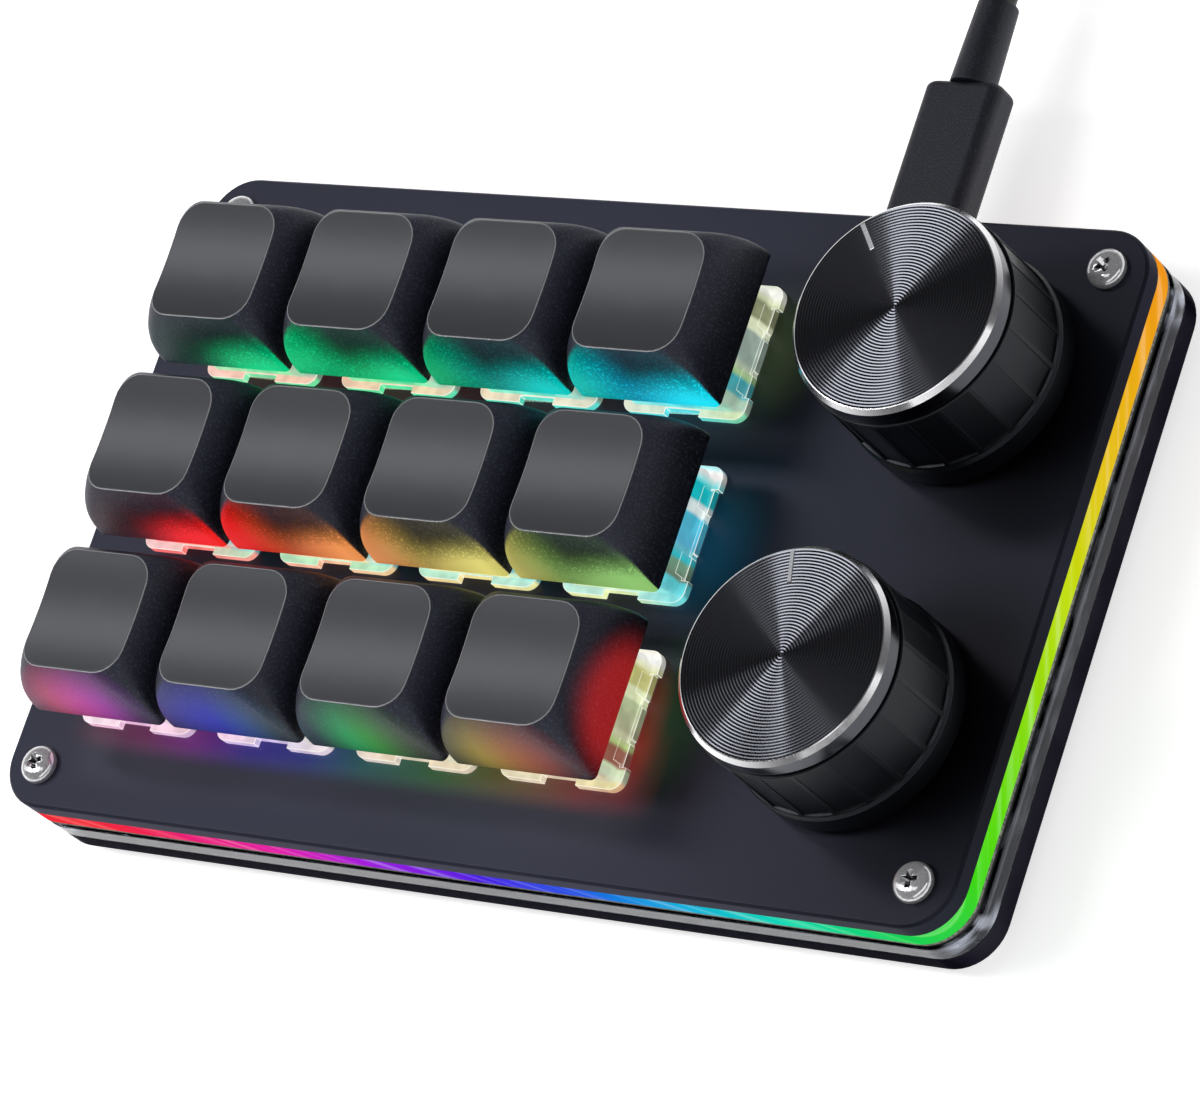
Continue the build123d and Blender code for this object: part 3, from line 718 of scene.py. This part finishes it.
def applied(piece):
    """The mesh of an object with its modifiers worked in; the object itself is taken away."""
    bpy.context.view_layer.update()
    graph = bpy.context.evaluated_depsgraph_get()
    mesh = bpy.data.meshes.new_from_object(piece.evaluated_get(graph))
    bpy.data.objects.remove(piece)
    return mesh


def loose(name, shape):
    """A bmesh as an object in millimetres, to work on before its mesh is used."""
    mesh = bpy.data.meshes.new(name)
    bmesh.ops.recalc_face_normals(shape, faces=shape.faces)
    shape.to_mesh(mesh)
    shape.free()
    piece = bpy.data.objects.new(name, mesh)
    scene.collection.objects.link(piece)
    return piece


def screw_mesh():
    """One screw about its head's seat: a domed head, its cross recess and a plain shank."""
    head = bmesh.new()
    outline = [(0.3, -shank_length), (shank_radius, -shank_length + 0.5), (shank_radius, 0.0),
               (screw_radius - 0.1, 0.0), (screw_radius, 0.12), (screw_radius, 0.45)]
    for step in range(1, 9):
        angle = math.radians(90 * step / 9)
        radius = screw_radius * math.cos(angle) ** 0.75
        outline.append((radius, 0.45 + (screw_height - 0.45) * math.sin(angle)))
    turned(head, outline)
    blank = loose("screw_blank", head)
    cross = bmesh.new()
    for angle in (0.0, math.pi / 2):
        spin = Matrix.Rotation(angle, 3, "Z")
        rings = []
        for half_length, half_width, height in (
            (*recess_bottom, screw_height - recess_depth), (*recess_mouth, screw_height + 0.3)
        ):
            corners = ((-1, -1), (1, -1), (1, 1), (-1, 1))
            rings.append([
                cross.verts.new(spin @ Vector((sx * half_length, sy * half_width, height)))
                for sx, sy in corners
            ])
        bridge(cross, rings)
        cross.faces.new(rings[0])
        cross.faces.new(rings[1])
    driver = loose("driver", cross)
    cut = blank.modifiers.new("recess", "BOOLEAN")
    cut.operation = "DIFFERENCE"
    cut.solver = "EXACT"
    cut.use_self = True
    cut.object = driver
    edge = blank.modifiers.new("edge", "BEVEL")
    edge.width = 0.05
    edge.segments = 2
    edge.angle_limit = math.radians(40)
    mesh = applied(blank)
    bpy.data.objects.remove(driver)
    # The faces down in the cross recess take the darker finish of the painted shade.
    for face in mesh.polygons:
        near_axis = math.hypot(face.center.x, face.center.y) < recess_reach
        if near_axis and face.center.z > 0.1:
            sunk = face.center.z < screw_height - 0.6 or face.normal.z < 0.5
            face.material_index = int(sunk)
    return mesh


screw = screw_mesh()
for node, seat, flip in (("corner_screws", face_top, 0.0), ("base_screws", 2.0, math.pi)):
    group = bmesh.new()
    for index, (sx, sy) in enumerate(((-1, -1), (-1, 1), (1, -1), (1, 1))):
        one = screw.copy()
        where = Vector(
            (sx * (plate_half_x - screw_inset), sy * (plate_half_y - screw_inset), seat)
        )
        turn = Matrix.Rotation(math.radians(first_turn + next_turn * index), 4, "Z")
        one.transform(Matrix.Translation(where) @ Matrix.Rotation(flip, 4, "X") @ turn)
        group.from_mesh(one)
    mesh = mesh_of(group, node + "_turned")
    mesh.set_sharp_from_angle(angle=math.radians(40))
    finishes = [screw_finish, recess_shade_finish]
    even_faces(new_piece(node + "_turned", mesh, finishes, "base", "screw_steel", node))


# ---------------------------------------------------------------- switch housings
# Milky nylon housings with a lamp under each: a notched flange on the plate and a tapered
# hood clipped into it. The lamp's colour differs from row to row and runs along the row.
# The lamp light in the housings is painted into their emission: a brighter run on the tops than
# on the sides, painted highlights along the flanks and on the chamfers, and painted shade on the
# side tabs.
def row_mask(y, row):
    """1 on one row of keys and 0 on the others."""
    half_pitch = row_pitch / 2
    above = y > row_y[row] - half_pitch
    if row == 0:
        return above
    return above - (y > row_y[row] + half_pitch)


def local(along, first, pitch):
    """A coordinate about the nearest of some evenly spaced middles."""
    count = (along - first) / pitch + 0.5
    return (count.math("FRACT", count) - 0.5) * pitch


key_pitch = column_x[1] - column_x[0]
row_pitch = row_y[0] - row_y[1]
# Painted light: the lamp's glow on the housings' top faces along each row; the side faces take
# the next table.
top_painted_glow = [
    [(-50, (250, 196, 180)), (-36, (252, 208, 180)), (-24, (246, 220, 180)),
     (-6, (244, 232, 206)), (12, (214, 236, 216)), (21, (216, 236, 172))],
    [(-50, (252, 196, 196)), (-36, (190, 240, 196)), (-24, (190, 240, 196)),
     (-6, (190, 242, 220)), (12, (196, 242, 226)), (21, (110, 232, 240))],
    [(-50, (255, 226, 240)), (-36, (252, 206, 230)), (-24, (236, 226, 246)),
     (-10, (246, 226, 196)), (8, (244, 232, 196)), (21, (246, 232, 168))],
]
side_painted_glow = [
    [(-50, (130, 232, 170)), (-28, (92, 236, 162)), (-8, (90, 230, 206)),
     (12, (90, 226, 236)), (21, (130, 214, 150))],
    [(-50, (252, 110, 110)), (-36, (252, 168, 150)), (-24, (255, 206, 160)),
     (-6, (250, 236, 160)), (12, (226, 244, 180)), (21, (40, 214, 232))],
    [(-50, (240, 186, 216)), (-28, (214, 196, 240)), (-8, (226, 214, 190)),
     (12, (230, 210, 184)), (21, (214, 160, 110))],
]
# Painted light: the lamp's glow along each housing's flank, with near-white painted highlights,
# at these places from front to back.
flank_places = (
    -7.8, -5.7, -5.3, -3.7, -3.2, -2.3, -1.6, 1.5, 1.9, 2.9, 3.3, 5.0, 5.5, 6.4, 7.0, 7.8
)
flank_painted_glow = [
    [(190, 214, 196), (170, 204, 180), (84, 178, 186), (64, 170, 180), (168, 206, 140),
     (190, 206, 180), (160, 180, 168), (158, 176, 166), (240, 250, 214), (246, 252, 214),
     (150, 156, 118), (146, 152, 116), (226, 236, 190), (255, 255, 246), (255, 255, 246),
     (226, 232, 210)],
    [(120, 220, 228), (96, 222, 230), (116, 140, 120), (120, 170, 140), (40, 214, 226),
     (110, 206, 222), (92, 190, 224), (80, 204, 232), (236, 252, 252), (236, 252, 252),
     (0, 206, 214), (0, 206, 214), (140, 238, 240), (255, 252, 250), (255, 252, 250),
     (110, 232, 240)],
    [(226, 226, 206), (214, 232, 190), (158, 96, 80), (164, 104, 84), (196, 220, 140),
     (206, 208, 170), (186, 186, 150), (190, 206, 160), (246, 255, 206), (246, 255, 206),
     (214, 212, 136), (212, 210, 134), (244, 246, 200), (255, 255, 250), (255, 255, 250),
     (244, 240, 220)],
]


def painted_lamp_glow(place):
    """The lamp light painted on each housing: one run of colours in front, another at the flank.
    """
    x, y = place.axis("X"), place.axis("Y")
    across = local(x, column_x[0], key_pitch)
    along = local(y, row_y[0], row_pitch)
    facing = place.node("NewGeometry", output="Normal").axis("Z").rise(0.2, 0.6)
    shown = None
    for row in range(len(row_y)):
        # Painted light: faces turned up take the brighter top run, upright faces the side run.
        front = facing.blend(along_row(x, side_painted_glow[row]), along_row(x, top_painted_glow[row]))
        stops = zip(flank_places, flank_painted_glow[row])
        flank = along.spread(-flange_half, flange_half, stops)
        # Painted shade: upright faces of the flank glow dimmer than its top, the side tabs' outer
        # faces dimmest.
        upright = 0.82 - 0.4 * across.rise(7.1, 7.3)
        flank = (upright + (1.0 - upright) * facing).blend(black, flank)
        beside = across.rise(4.4, 4.8) * along.rise(-7.2, -6.6)
        glow = beside.blend(front, flank)
        shown = glow if shown is None else row_mask(y, row).blend(shown, glow)
    return shown


nylon = {"Base_Color": tone(64, 66, 65), "Roughness": 0.25, "Emission_Strength": 1.0}
housing_finish, housing_place = finish("milky_nylon", **nylon)
murk = housing_place.grain(1.8, 1.0).rise(0.3, 0.7)
(0.76 + 0.24 * murk).blend(black, painted_lamp_glow(housing_place)).feed("Emission Color")
# Painted highlight: the chamfers glow near white in patches over the lamp's colour.
edge_highlight_finish, edge_place = finish("nylon_edge_highlight", **nylon)
edge_highlight_patches = edge_place.grain(2.2, 1.0).rise(0.3, 0.7)
(0.35 + 0.45 * edge_highlight_patches).blend(painted_lamp_glow(edge_place), tone(250, 250, 240)).feed("Emission Color")


notch_half, sliver_half = 2.2, 2.25
sliver_root = 6.9
front_notch, front_notch_cut = 7.2, 7.04
clip_side, clip_slimmer_low, clip_slimmer_high = 7.4, 0.3, 0.45


def chamfered(node, width, tabs=()):
    """The switches' moulding with chamfers that carry a painted highlight; its slivers between
    two notches are closed up.
    """
    mesh, shape = copy_of(node)
    for vert in shape.verts:
        place = vert.co / mm
        x = min((place.x - middle for middle in column_x), key=abs)
        y = min((place.y - middle for middle in row_y), key=abs)
        on_flange = place.z > face_top - 0.05
        if on_flange and abs(x) > 7.0 and abs(abs(y) - sliver_half) < 0.1:
            vert.co.x -= math.copysign(abs(x) - sliver_root, x) * mm
        if on_flange and abs(x) < notch_half + 0.05 and abs(abs(y) - front_notch) < 0.1:
            vert.co.y -= math.copysign(abs(y) - front_notch_cut, y) * mm
        if abs(abs(x) - clip_side) < 0.03:
            high = place.z > face_top + 2.0
            vert.co.x -= math.copysign(clip_slimmer_high if high else clip_slimmer_low, x) * mm
    for outline, low, high in tabs:
        for x in column_x:
            for y in row_y:
                for side in (1, -1):
                    rings = []
                    for z in (low, high):
                        ring = [Vector((x + side * u, y + side * v, z)) for u, v in outline]
                        rings.append([shape.verts.new(place * mm) for place in ring])
                    bridge(shape, rings)
                    shape.faces.new(rings[0][::-1])
                    shape.faces.new(rings[1])
    bmesh.ops.remove_doubles(shape, verts=shape.verts, dist=weld)
    bmesh.ops.dissolve_degenerate(shape, dist=weld, edges=shape.edges)
    join_faces(shape)
    hard = [
        edge for edge in shape.edges
        if len(edge.link_faces) == 2 and edge.calc_face_angle() > math.radians(35)
        and max(vert.co.z for vert in edge.verts) > face_top * mm
    ]
    bmesh.ops.bevel(
        shape, geom=hard, offset=width * mm, segments=1, affect="EDGES", material=1,
        loop_slide=False, clamp_overlap=True,
    )
    shape.to_mesh(mesh)
    shape.free()
    new_piece(
        node + "_lit", mesh, [housing_finish, edge_highlight_finish], "base", "milky_housing", node
    )


side_strip = [
    (6.88, -2.5), (7.12, -2.5), (7.12, -5.19), (7.35, -5.19), (7.35, -2.6), (7.2, -2.6),
    (7.2, -2.1), (7.35, -2.1), (7.35, 1.5), (7.2, 1.5), (7.2, 2.4), (7.35, 2.4),
    (7.35, 5.19), (7.12, 5.19), (7.12, 2.5), (6.88, 2.5),
]
chamfered("switch_bases", 0.07, ((side_strip, 13.62, 14.6),))
chamfered("switch_covers", 0.08)


# ---------------------------------------------------------------- stems, springs and pins
# A brown acetal stem slides in each switch on a coil spring of steel wire; two tinned pins
# and a lamp stand under it.
def dress(node, finish_used):
    """Give a solid that is right as it is its own material."""
    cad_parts[node].data.materials[0] = finish_used


stem_finish = moulded("stem_acetal", tone(150, 96, 60), 0.35, 0.5, 0.005)
spring_finish = plated("spring_wire", (0.6, 0.6, 0.6, 1.0), 0.2, (5.0, 5.0, 5.0))
spring_low, spring_high = 9.6, 15.8
spring_radius, wire_radius = 2.2, 0.16
spring_turns, spring_steps, spring_sides = 9, 9 * 16, 6
spring_climb = spring_high - spring_low - 2 * wire_radius
for row, y in enumerate(row_y):
    for column, x in enumerate(column_x):
        key = f"r{row + 1}c{column + 1}"
        dress("switch_stem_" + key, stem_finish)
        coil = bmesh.new()
        rings = []
        for step in range(spring_steps + 1):
            share = step / spring_steps
            angle = 2 * math.pi * spring_turns * share
            out = Vector((math.cos(angle), math.sin(angle), 0.0))
            middle = Vector((x, y, spring_low + wire_radius + spring_climb * share))
            rings.append([
                coil.verts.new(middle + (spring_radius + u) * out + Vector((0.0, 0.0, v)))
                for u, v in circle(wire_radius, spring_sides)
            ])
        bridge(coil, rings)
        coil.faces.new(rings[0])
        coil.faces.new(rings[-1])
        wire = new_piece(
            "spring_" + key, mesh_of(coil, "spring_" + key), [spring_finish], "base",
            "spring_steel", "key_springs",
        )
        seat = (x * mm, y * mm, spring_low * mm)
        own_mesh(wire)

dress("switch_pins", plated("pin_tin", (0.72, 0.66, 0.5, 1.0), 0.25, (6.0, 6.0, 6.0)))
lamp_finish, lamp_place = finish("lamp_body", Roughness=0.4, Emission_Strength=0.6)
lamp_hues = lamp_place.grain(1.5).colours((0.3, (200, 220, 210)), (0.7, (250, 250, 240)))
lamp_hues.feed("Emission Color")
dress("key_leds", lamp_finish)
dress("edge_leds", lamp_finish)
dress("board_parts", moulded("chip_epoxy", tone(26, 26, 28), 0.5, 0.2, 0.01))


# ---------------------------------------------------------------- keycaps
# A hollow cap of black PBT with bulging sides and a shallow dish on top, pressed onto the
# stem. The lamp's light on its front face, most at the lower edge, is painted into its emission
# over a darker base colour; its sides carry a painted sheen and its top's edge a painted
# highlight line.
cap_low = 20.3
cap_height = 8.2
cap_levels = (0.0, 2.4, 5.5, 8.2)
cap_widths = (18.1, 17.75, 16.35, 13.5)
cap_depths = (18.1, 17.75, 16.35, 13.8)
cap_corners = (0.7, 1.0, 1.9, 3.0)
dish_radius = 50.0
dish_depth = 0.48
side_steps = 6
level_steps = 14
mouth_size, mouth_corner = 17.7, 0.5
wall_low, wall_high = 0.15, 7.95
room_low, room_high, ceiling = 15.5, 11.6, 6.6
post_radius, post_low, bore_high = 2.75, 0.3, 3.9
half_span, half_bar = 2.05, 0.65
rim_width, rim_depth, rim_corner = 13.7, 14.0, 3.05
rim_rise = 0.25
dish_size = (13.0, 13.3, 2.7)
rim_rings = (
    (0.02, 0.12, 0.0), (0.08, 0.045, 1.0), (0.16, 0.01, 1.0), (0.24, 0.0, 0.0), (0.36, 0.0, 0.0)
)


def through(levels, values, level):
    """The cubic through four values at four levels."""
    total = 0.0
    for k, value in enumerate(values):
        share = value
        for j, other in enumerate(levels):
            if j != k:
                share *= (level - other) / (levels[k] - other)
        total += share
    return total


def dish(y):
    """The top's height over the cap's lower edge, scooped from front to back."""
    return cap_height - dish_depth + y * y / (2 * dish_radius)


def cap_mesh(name, x, y):
    """One cap: its outside, dished top, inside and the cross-bored post."""
    shape = bmesh.new()
    # A weight on each point for the painted highlight line round the top's edge.
    rim_layer = shape.verts.layers.float.new("rim_highlight")

    def ring_of(size, height_of, rim_highlight=0.0):
        ring = []
        for point in round_rectangle(*size, side_steps):
            vert = shape.verts.new((x + point.x, y + point.y, cap_low + height_of(point.y)))
            vert[rim_layer] = rim_highlight
            ring.append(vert)
        return ring

    def level_square(width, height):
        return ring_of((width, width, mouth_corner), lambda v: height)

    rings = [level_square(mouth_size, 0.0)]
    for step in range(level_steps + 1):
        level = wall_low + (wall_high - wall_low) * step / level_steps
        size = [through(cap_levels, at, level) for at in (cap_widths, cap_depths, cap_corners)]
        rings.append(ring_of(size, lambda v: level * (dish(v) - rim_rise) / wall_high))
    for inset, drop, rim_highlight in rim_rings:
        size = (rim_width - 2 * inset, rim_depth - 2 * inset, rim_corner - inset)
        rings.append(ring_of(size, lambda v: dish(v) - drop, rim_highlight))
    for share in (0.8, 0.6, 0.4, 0.2):
        rings.append(ring_of([share * length for length in dish_size], dish))
    bridge(shape, rings)
    shape.faces.new(rings[-1])
    inside = [level_square(room_low, 0.0), level_square(room_high, ceiling)]
    bridge(shape, [rings[0], *inside])
    shape.faces.new(inside[-1])
    cross = [
        (half_span, half_bar), (half_bar, half_bar), (half_bar, half_span),
        (-half_bar, half_span), (-half_bar, half_bar), (-half_span, half_bar),
        (-half_span, -half_bar), (-half_bar, -half_bar), (-half_bar, -half_span),
        (half_bar, -half_span), (half_bar, -half_bar), (half_span, -half_bar),
    ]

    def upright(outline, low, high):
        return [
            [shape.verts.new((x + u, y + v, cap_low + height)) for u, v in outline]
            for height in (low, high)
        ]

    outer = upright(circle(post_radius, 24), post_low, ceiling)
    bridge(shape, outer)
    bore = upright(cross, post_low, bore_high)
    bridge(shape, bore)
    shape.faces.new(bore[1])
    edges = []
    for ring in (outer[0], bore[0]):
        for k in range(len(ring)):
            edges.append(shape.edges.get((ring[k], ring[(k + 1) % len(ring)])))
    bmesh.ops.triangle_fill(shape, use_beauty=True, edges=edges)
    return mesh_of(shape, name)


# Painted light: the lamp colours on the caps' front faces along each row.
cap_painted_glow = [
    [(-54, (20, 60, 70)), (-47.5, (4, 124, 88)), (-43, (2, 206, 130)), (-39, (6, 214, 138)),
     (-33, (10, 196, 122)), (-24, (4, 190, 118)), (-20, (10, 208, 138)), (-14, (8, 170, 110)),
     (-7, (4, 156, 146)), (-1, (4, 204, 198)), (5, (10, 190, 180)), (11, (6, 172, 206)),
     (18, (24, 224, 246))],
    [(-54, (60, 30, 40)), (-48, (110, 26, 32)), (-42, (232, 32, 34)), (-38, (244, 36, 36)),
     (-32, (220, 30, 26)), (-26, (180, 80, 36)), (-19, (238, 148, 80)), (-14, (204, 130, 74)),
     (-8, (170, 150, 76)), (-0.5, (224, 214, 118)), (5, (160, 156, 82)), (10, (116, 152, 80)),
     (18, (140, 194, 110))],
    [(-54, (130, 50, 84)), (-50, (176, 60, 100)), (-46, (176, 56, 140)), (-42, (166, 52, 166)),
     (-38, (120, 44, 150)), (-33, (50, 44, 150)), (-27, (28, 36, 158)), (-22, (24, 76, 140)),
     (-18, (10, 84, 90)), (-14, (10, 50, 60)), (-9, (14, 142, 74)), (-6, (40, 138, 44)),
     (-1, (66, 100, 34)), (4, (100, 96, 36)), (8, (146, 126, 40)), (12, (148, 94, 40)),
     (17, (160, 66, 44)), (21, (136, 44, 38))],
]


for row, y in enumerate(row_y):
    cap_finish, cap_place = finish(
        f"keycap_pbt_row_{row + 1}", Emission_Strength=1.0, Specular_Tint=(0.9, 0.92, 1.0, 1.0)
    )
    cap_x = cap_place.axis("X")
    cap_z = cap_place.axis("Z")
    normal = cap_place.node("NewGeometry", output="Normal")
    upward = normal.axis("Z").rise(0.9, 0.985)
    clouds = cap_place.grain(5.0)
    specks = cap_place.grain(0.24, 2.0)
    # Painted sheen: the sides lighten towards their upper, more upward-facing part.
    painted_top_light = normal.axis("Z").rise(0.08, 0.5)
    side_colour = painted_top_light.blend(tone(16, 17, 24), tone(39, 41, 54))
    side_colour = (0.7 * specks.rise(0.5, 0.7)).blend(side_colour, tone(70, 75, 98))
    cap_colour = upward.blend(side_colour, tone(60, 61, 64))
    # Painted highlight: a thin light line round the top's edge, from the weight on the cap's
    # points.
    rim_highlight = cap_place.node("Attribute", {"attribute_name": "rim_highlight"}, output="Fac")
    cap_colour = rim_highlight.rise(0.55, 0.95).blend(cap_colour, tone(156, 156, 158))
    (0.48 - 0.22 * upward).feed("Roughness")
    (specks * (1.0 - upward)).relief(0.05).feed("Normal")
    # Painted light: the lamp's glow on the front face, an oval strongest low down with a speckle,
    # goes into the emission; the base colour is darkened and made metallic under it.
    front = (0.0 - normal.axis("Y")).rise(0.45, 0.7)
    across = local(cap_x, column_x[0], key_pitch)
    up = cap_z - cap_low
    if row < 2:
        beyond_first = cap_x.rise(column_x[0] + 8.0, column_x[0] + 10.0)
        beside = lobe(across, up, -7.5, 3.8, 9.5, 7.0) * (0.15 + 0.85 * beyond_first)
        glow_floor = (0.04 + 0.2 * (1.0 - up.rise(0.5, 7.0))) * (0.4 + 0.6 * beyond_first)
        level = glow_floor + 0.9 * lobe(across, up, 6.8, -0.6, 12.5, 7.6) + 0.7 * beside
        sparkle = cap_place.grain(0.26, 1.0).rise(0.52, 0.7)
        darkened_under_glow = level.math("MINIMUM", 2.5 * level, 1.0)
        level = level * ((1.0, 1.35)[row] + (1.0, 1.1)[row] * sparkle)
    else:
        level = 0.04 + 0.95 * lobe(across, up, -1.4, 3.4, 11.5, 7.0)
        darkened_under_glow = 0.5 * level
    darkened_under_glow = darkened_under_glow * front
    darkened_under_glow.blend(cap_colour, tone(5, 6, 8)).feed("Base Color")
    darkened_under_glow.feed("Metallic")
    glow_colour = along_row(cap_x, cap_painted_glow[row])
    painted_lamp_light = (level * front).blend(black, glow_colour)
    # Painted light: a red glow patch on the right side of the front row's last cap.
    if row == 2:
        sideways = normal.axis("X").rise(0.45, 0.9) * (cap_x > column_x[3])
        painted_glow_patch = lobe(cap_place.axis("Y") - y, up, -1.0, 0.8, 10.2, 7.4).rise(0.0, 0.75)
        painted_lamp_light = (sideways * painted_glow_patch).blend(painted_lamp_light, tone(150, 26, 26), "ADD")
    painted_lamp_light.feed("Emission Color")
    for column, x in enumerate(column_x):
        key = f"r{row + 1}c{column + 1}"
        new_piece(
            "cap_" + key, cap_mesh("cap_" + key, x, y), [cap_finish], "key_" + key,
            "keycap_black", "keycap_" + key,
        )


# ---------------------------------------------------------------- encoders
# Two rotary encoders stand on the board under the knobs. Each has a die cast zinc housing,
# a nylon rotor and a turned shaft.
encoder_finish = plated("encoder_zinc", (0.5, 0.5, 0.52, 1.0), 0.35, (2.0, 2.0, 2.0))
softened("encoder_housings", [encoder_finish], "base", "encoder_metal", 0.1)
rotor_finish = moulded("rotor_nylon", tone(60, 60, 62), 0.4, 0.3, 0.01)
shaft_finish = plated("shaft_turned", (0.6, 0.6, 0.6, 1.0), 0.2, (1.0, 1.0, 12.0))


# ---------------------------------------------------------------- knobs
# A black moulded sleeve with 20 flat grip panels carries a spun aluminium disc: concentric
# turning rings, a diamond cut bevel left bright, and an inlaid pointer line.
knob_places = {"upper": (44.7, 20.8, 128.2), "lower": (44.7, -17.45, 103.0)}
disc_low, disc_top = 27.3, 29.88
disc_radius = 11.93
bevel = 0.55
ring_count = 33
gentle, steep = math.tan(math.radians(18)), math.tan(math.radians(38))
low_lip = 0.35 * gentle
groove = [(0.35, low_lip), (0.5, low_lip + 0.15 * steep), (0.65, low_lip), (1.0, 0.0)]
disc_steps = 128
pointer_size, pointer_middle, pointer_edge = (3.5, 0.52, 0.12), 9.55, 0.07

sleeve_finish = moulded(
    "knob_sleeve", tone(7, 8, 12), 0.38, 0.3, 0.008, Specular_IOR_Level=0.3,
    Specular_Tint=(0.8, 0.87, 1.0, 1.0),
)
# Painted highlight: the sleeve's rounded edges take a much lighter plastic, to read as lit lines.
ridge_highlight_finish = moulded("knob_ridge_highlight", tone(40, 42, 48), 0.35, 0.3, 0.008)
spun_finish, spun_place = finish(
    "spun_black", Metallic=1.0, Base_Color=(0.078, 0.081, 0.093, 1.0)
)
scratches = spun_place.grain(0.5, 3.0)
(0.12 + 0.05 * scratches).feed("Roughness")
bright_finish, bright_place = finish(
    "diamond_cut", Metallic=1.0, Base_Color=(0.9, 0.9, 0.92, 1.0)
)
(0.12 + 0.1 * bright_place.grain(0.6, 2.0)).feed("Roughness")
pointer_finish, pointer_place = finish("pointer_paint", Roughness=0.4)
worn_paint = pointer_place.grain(0.3).rise(0.3, 0.7)
worn_paint.blend(tone(178, 179, 182), tone(196, 197, 200)).feed("Base Color")


def disc_mesh(name, x, y):
    """One disc about its knob's axis, grooved on top."""
    shape = bmesh.new()
    land = disc_radius - bevel
    pitch = land / ring_count
    outline = [(0.02, disc_top)]
    for ring in range(ring_count):
        for share, depth in groove:
            outline.append((pitch * (ring + share), disc_top - depth * pitch))
    outline += [
        (land + 0.12, disc_top - 0.05), (disc_radius, disc_top - bevel),
        (disc_radius, disc_low + 0.1), (disc_radius - 0.1, disc_low),
    ]
    turned(shape, outline, disc_steps)
    bmesh.ops.translate(shape, vec=(x, y, 0), verts=shape.verts)
    for face in shape.faces:
        middle = face.calc_center_median()
        radius = math.hypot(middle.x - x, middle.y - y)
        if land < radius < disc_radius and middle.z > disc_top - bevel:
            face.material_index = 1
    mesh = mesh_of(shape, name)
    mesh.set_sharp_from_angle(angle=math.radians(10))
    return mesh


for name, (x, y, pointer_turn) in knob_places.items():
    body = "knob_" + name
    softened(
        "knob_body_" + name, [sleeve_finish, ridge_highlight_finish], body, "knob_sleeve", 0.08,
        "sleeve_" + name, 14,
    )
    new_piece(
        "disc_" + name, disc_mesh("disc_" + name, x, y), [spun_finish, bright_finish], body,
        "knob_disc", "knob_disc_" + name,
    )
    pointer = bmesh.new()
    bmesh.ops.create_cube(pointer, size=1.0)
    bmesh.ops.scale(pointer, vec=pointer_size, verts=pointer.verts)
    upper_edges = [edge for edge in pointer.edges if min(vert.co.z for vert in edge.verts) > 0]
    bmesh.ops.bevel(
        pointer, geom=upper_edges, offset=pointer_edge, segments=1, affect="EDGES", material=1
    )
    bmesh.ops.translate(pointer, vec=(pointer_middle, 0, disc_top), verts=pointer.verts)
    turn = Matrix.Rotation(math.radians(pointer_turn), 4, "Z")
    bmesh.ops.transform(pointer, matrix=Matrix.Translation((x, y, 0)) @ turn, verts=pointer.verts)
    mesh = mesh_of(pointer, "pointer_" + name, False)
    new_piece("pointer_" + name, mesh, [pointer_finish, bright_finish], body, "knob_disc")
    dress("encoder_rotor_" + name, rotor_finish)
    dress("encoder_shaft_" + name, shaft_finish)
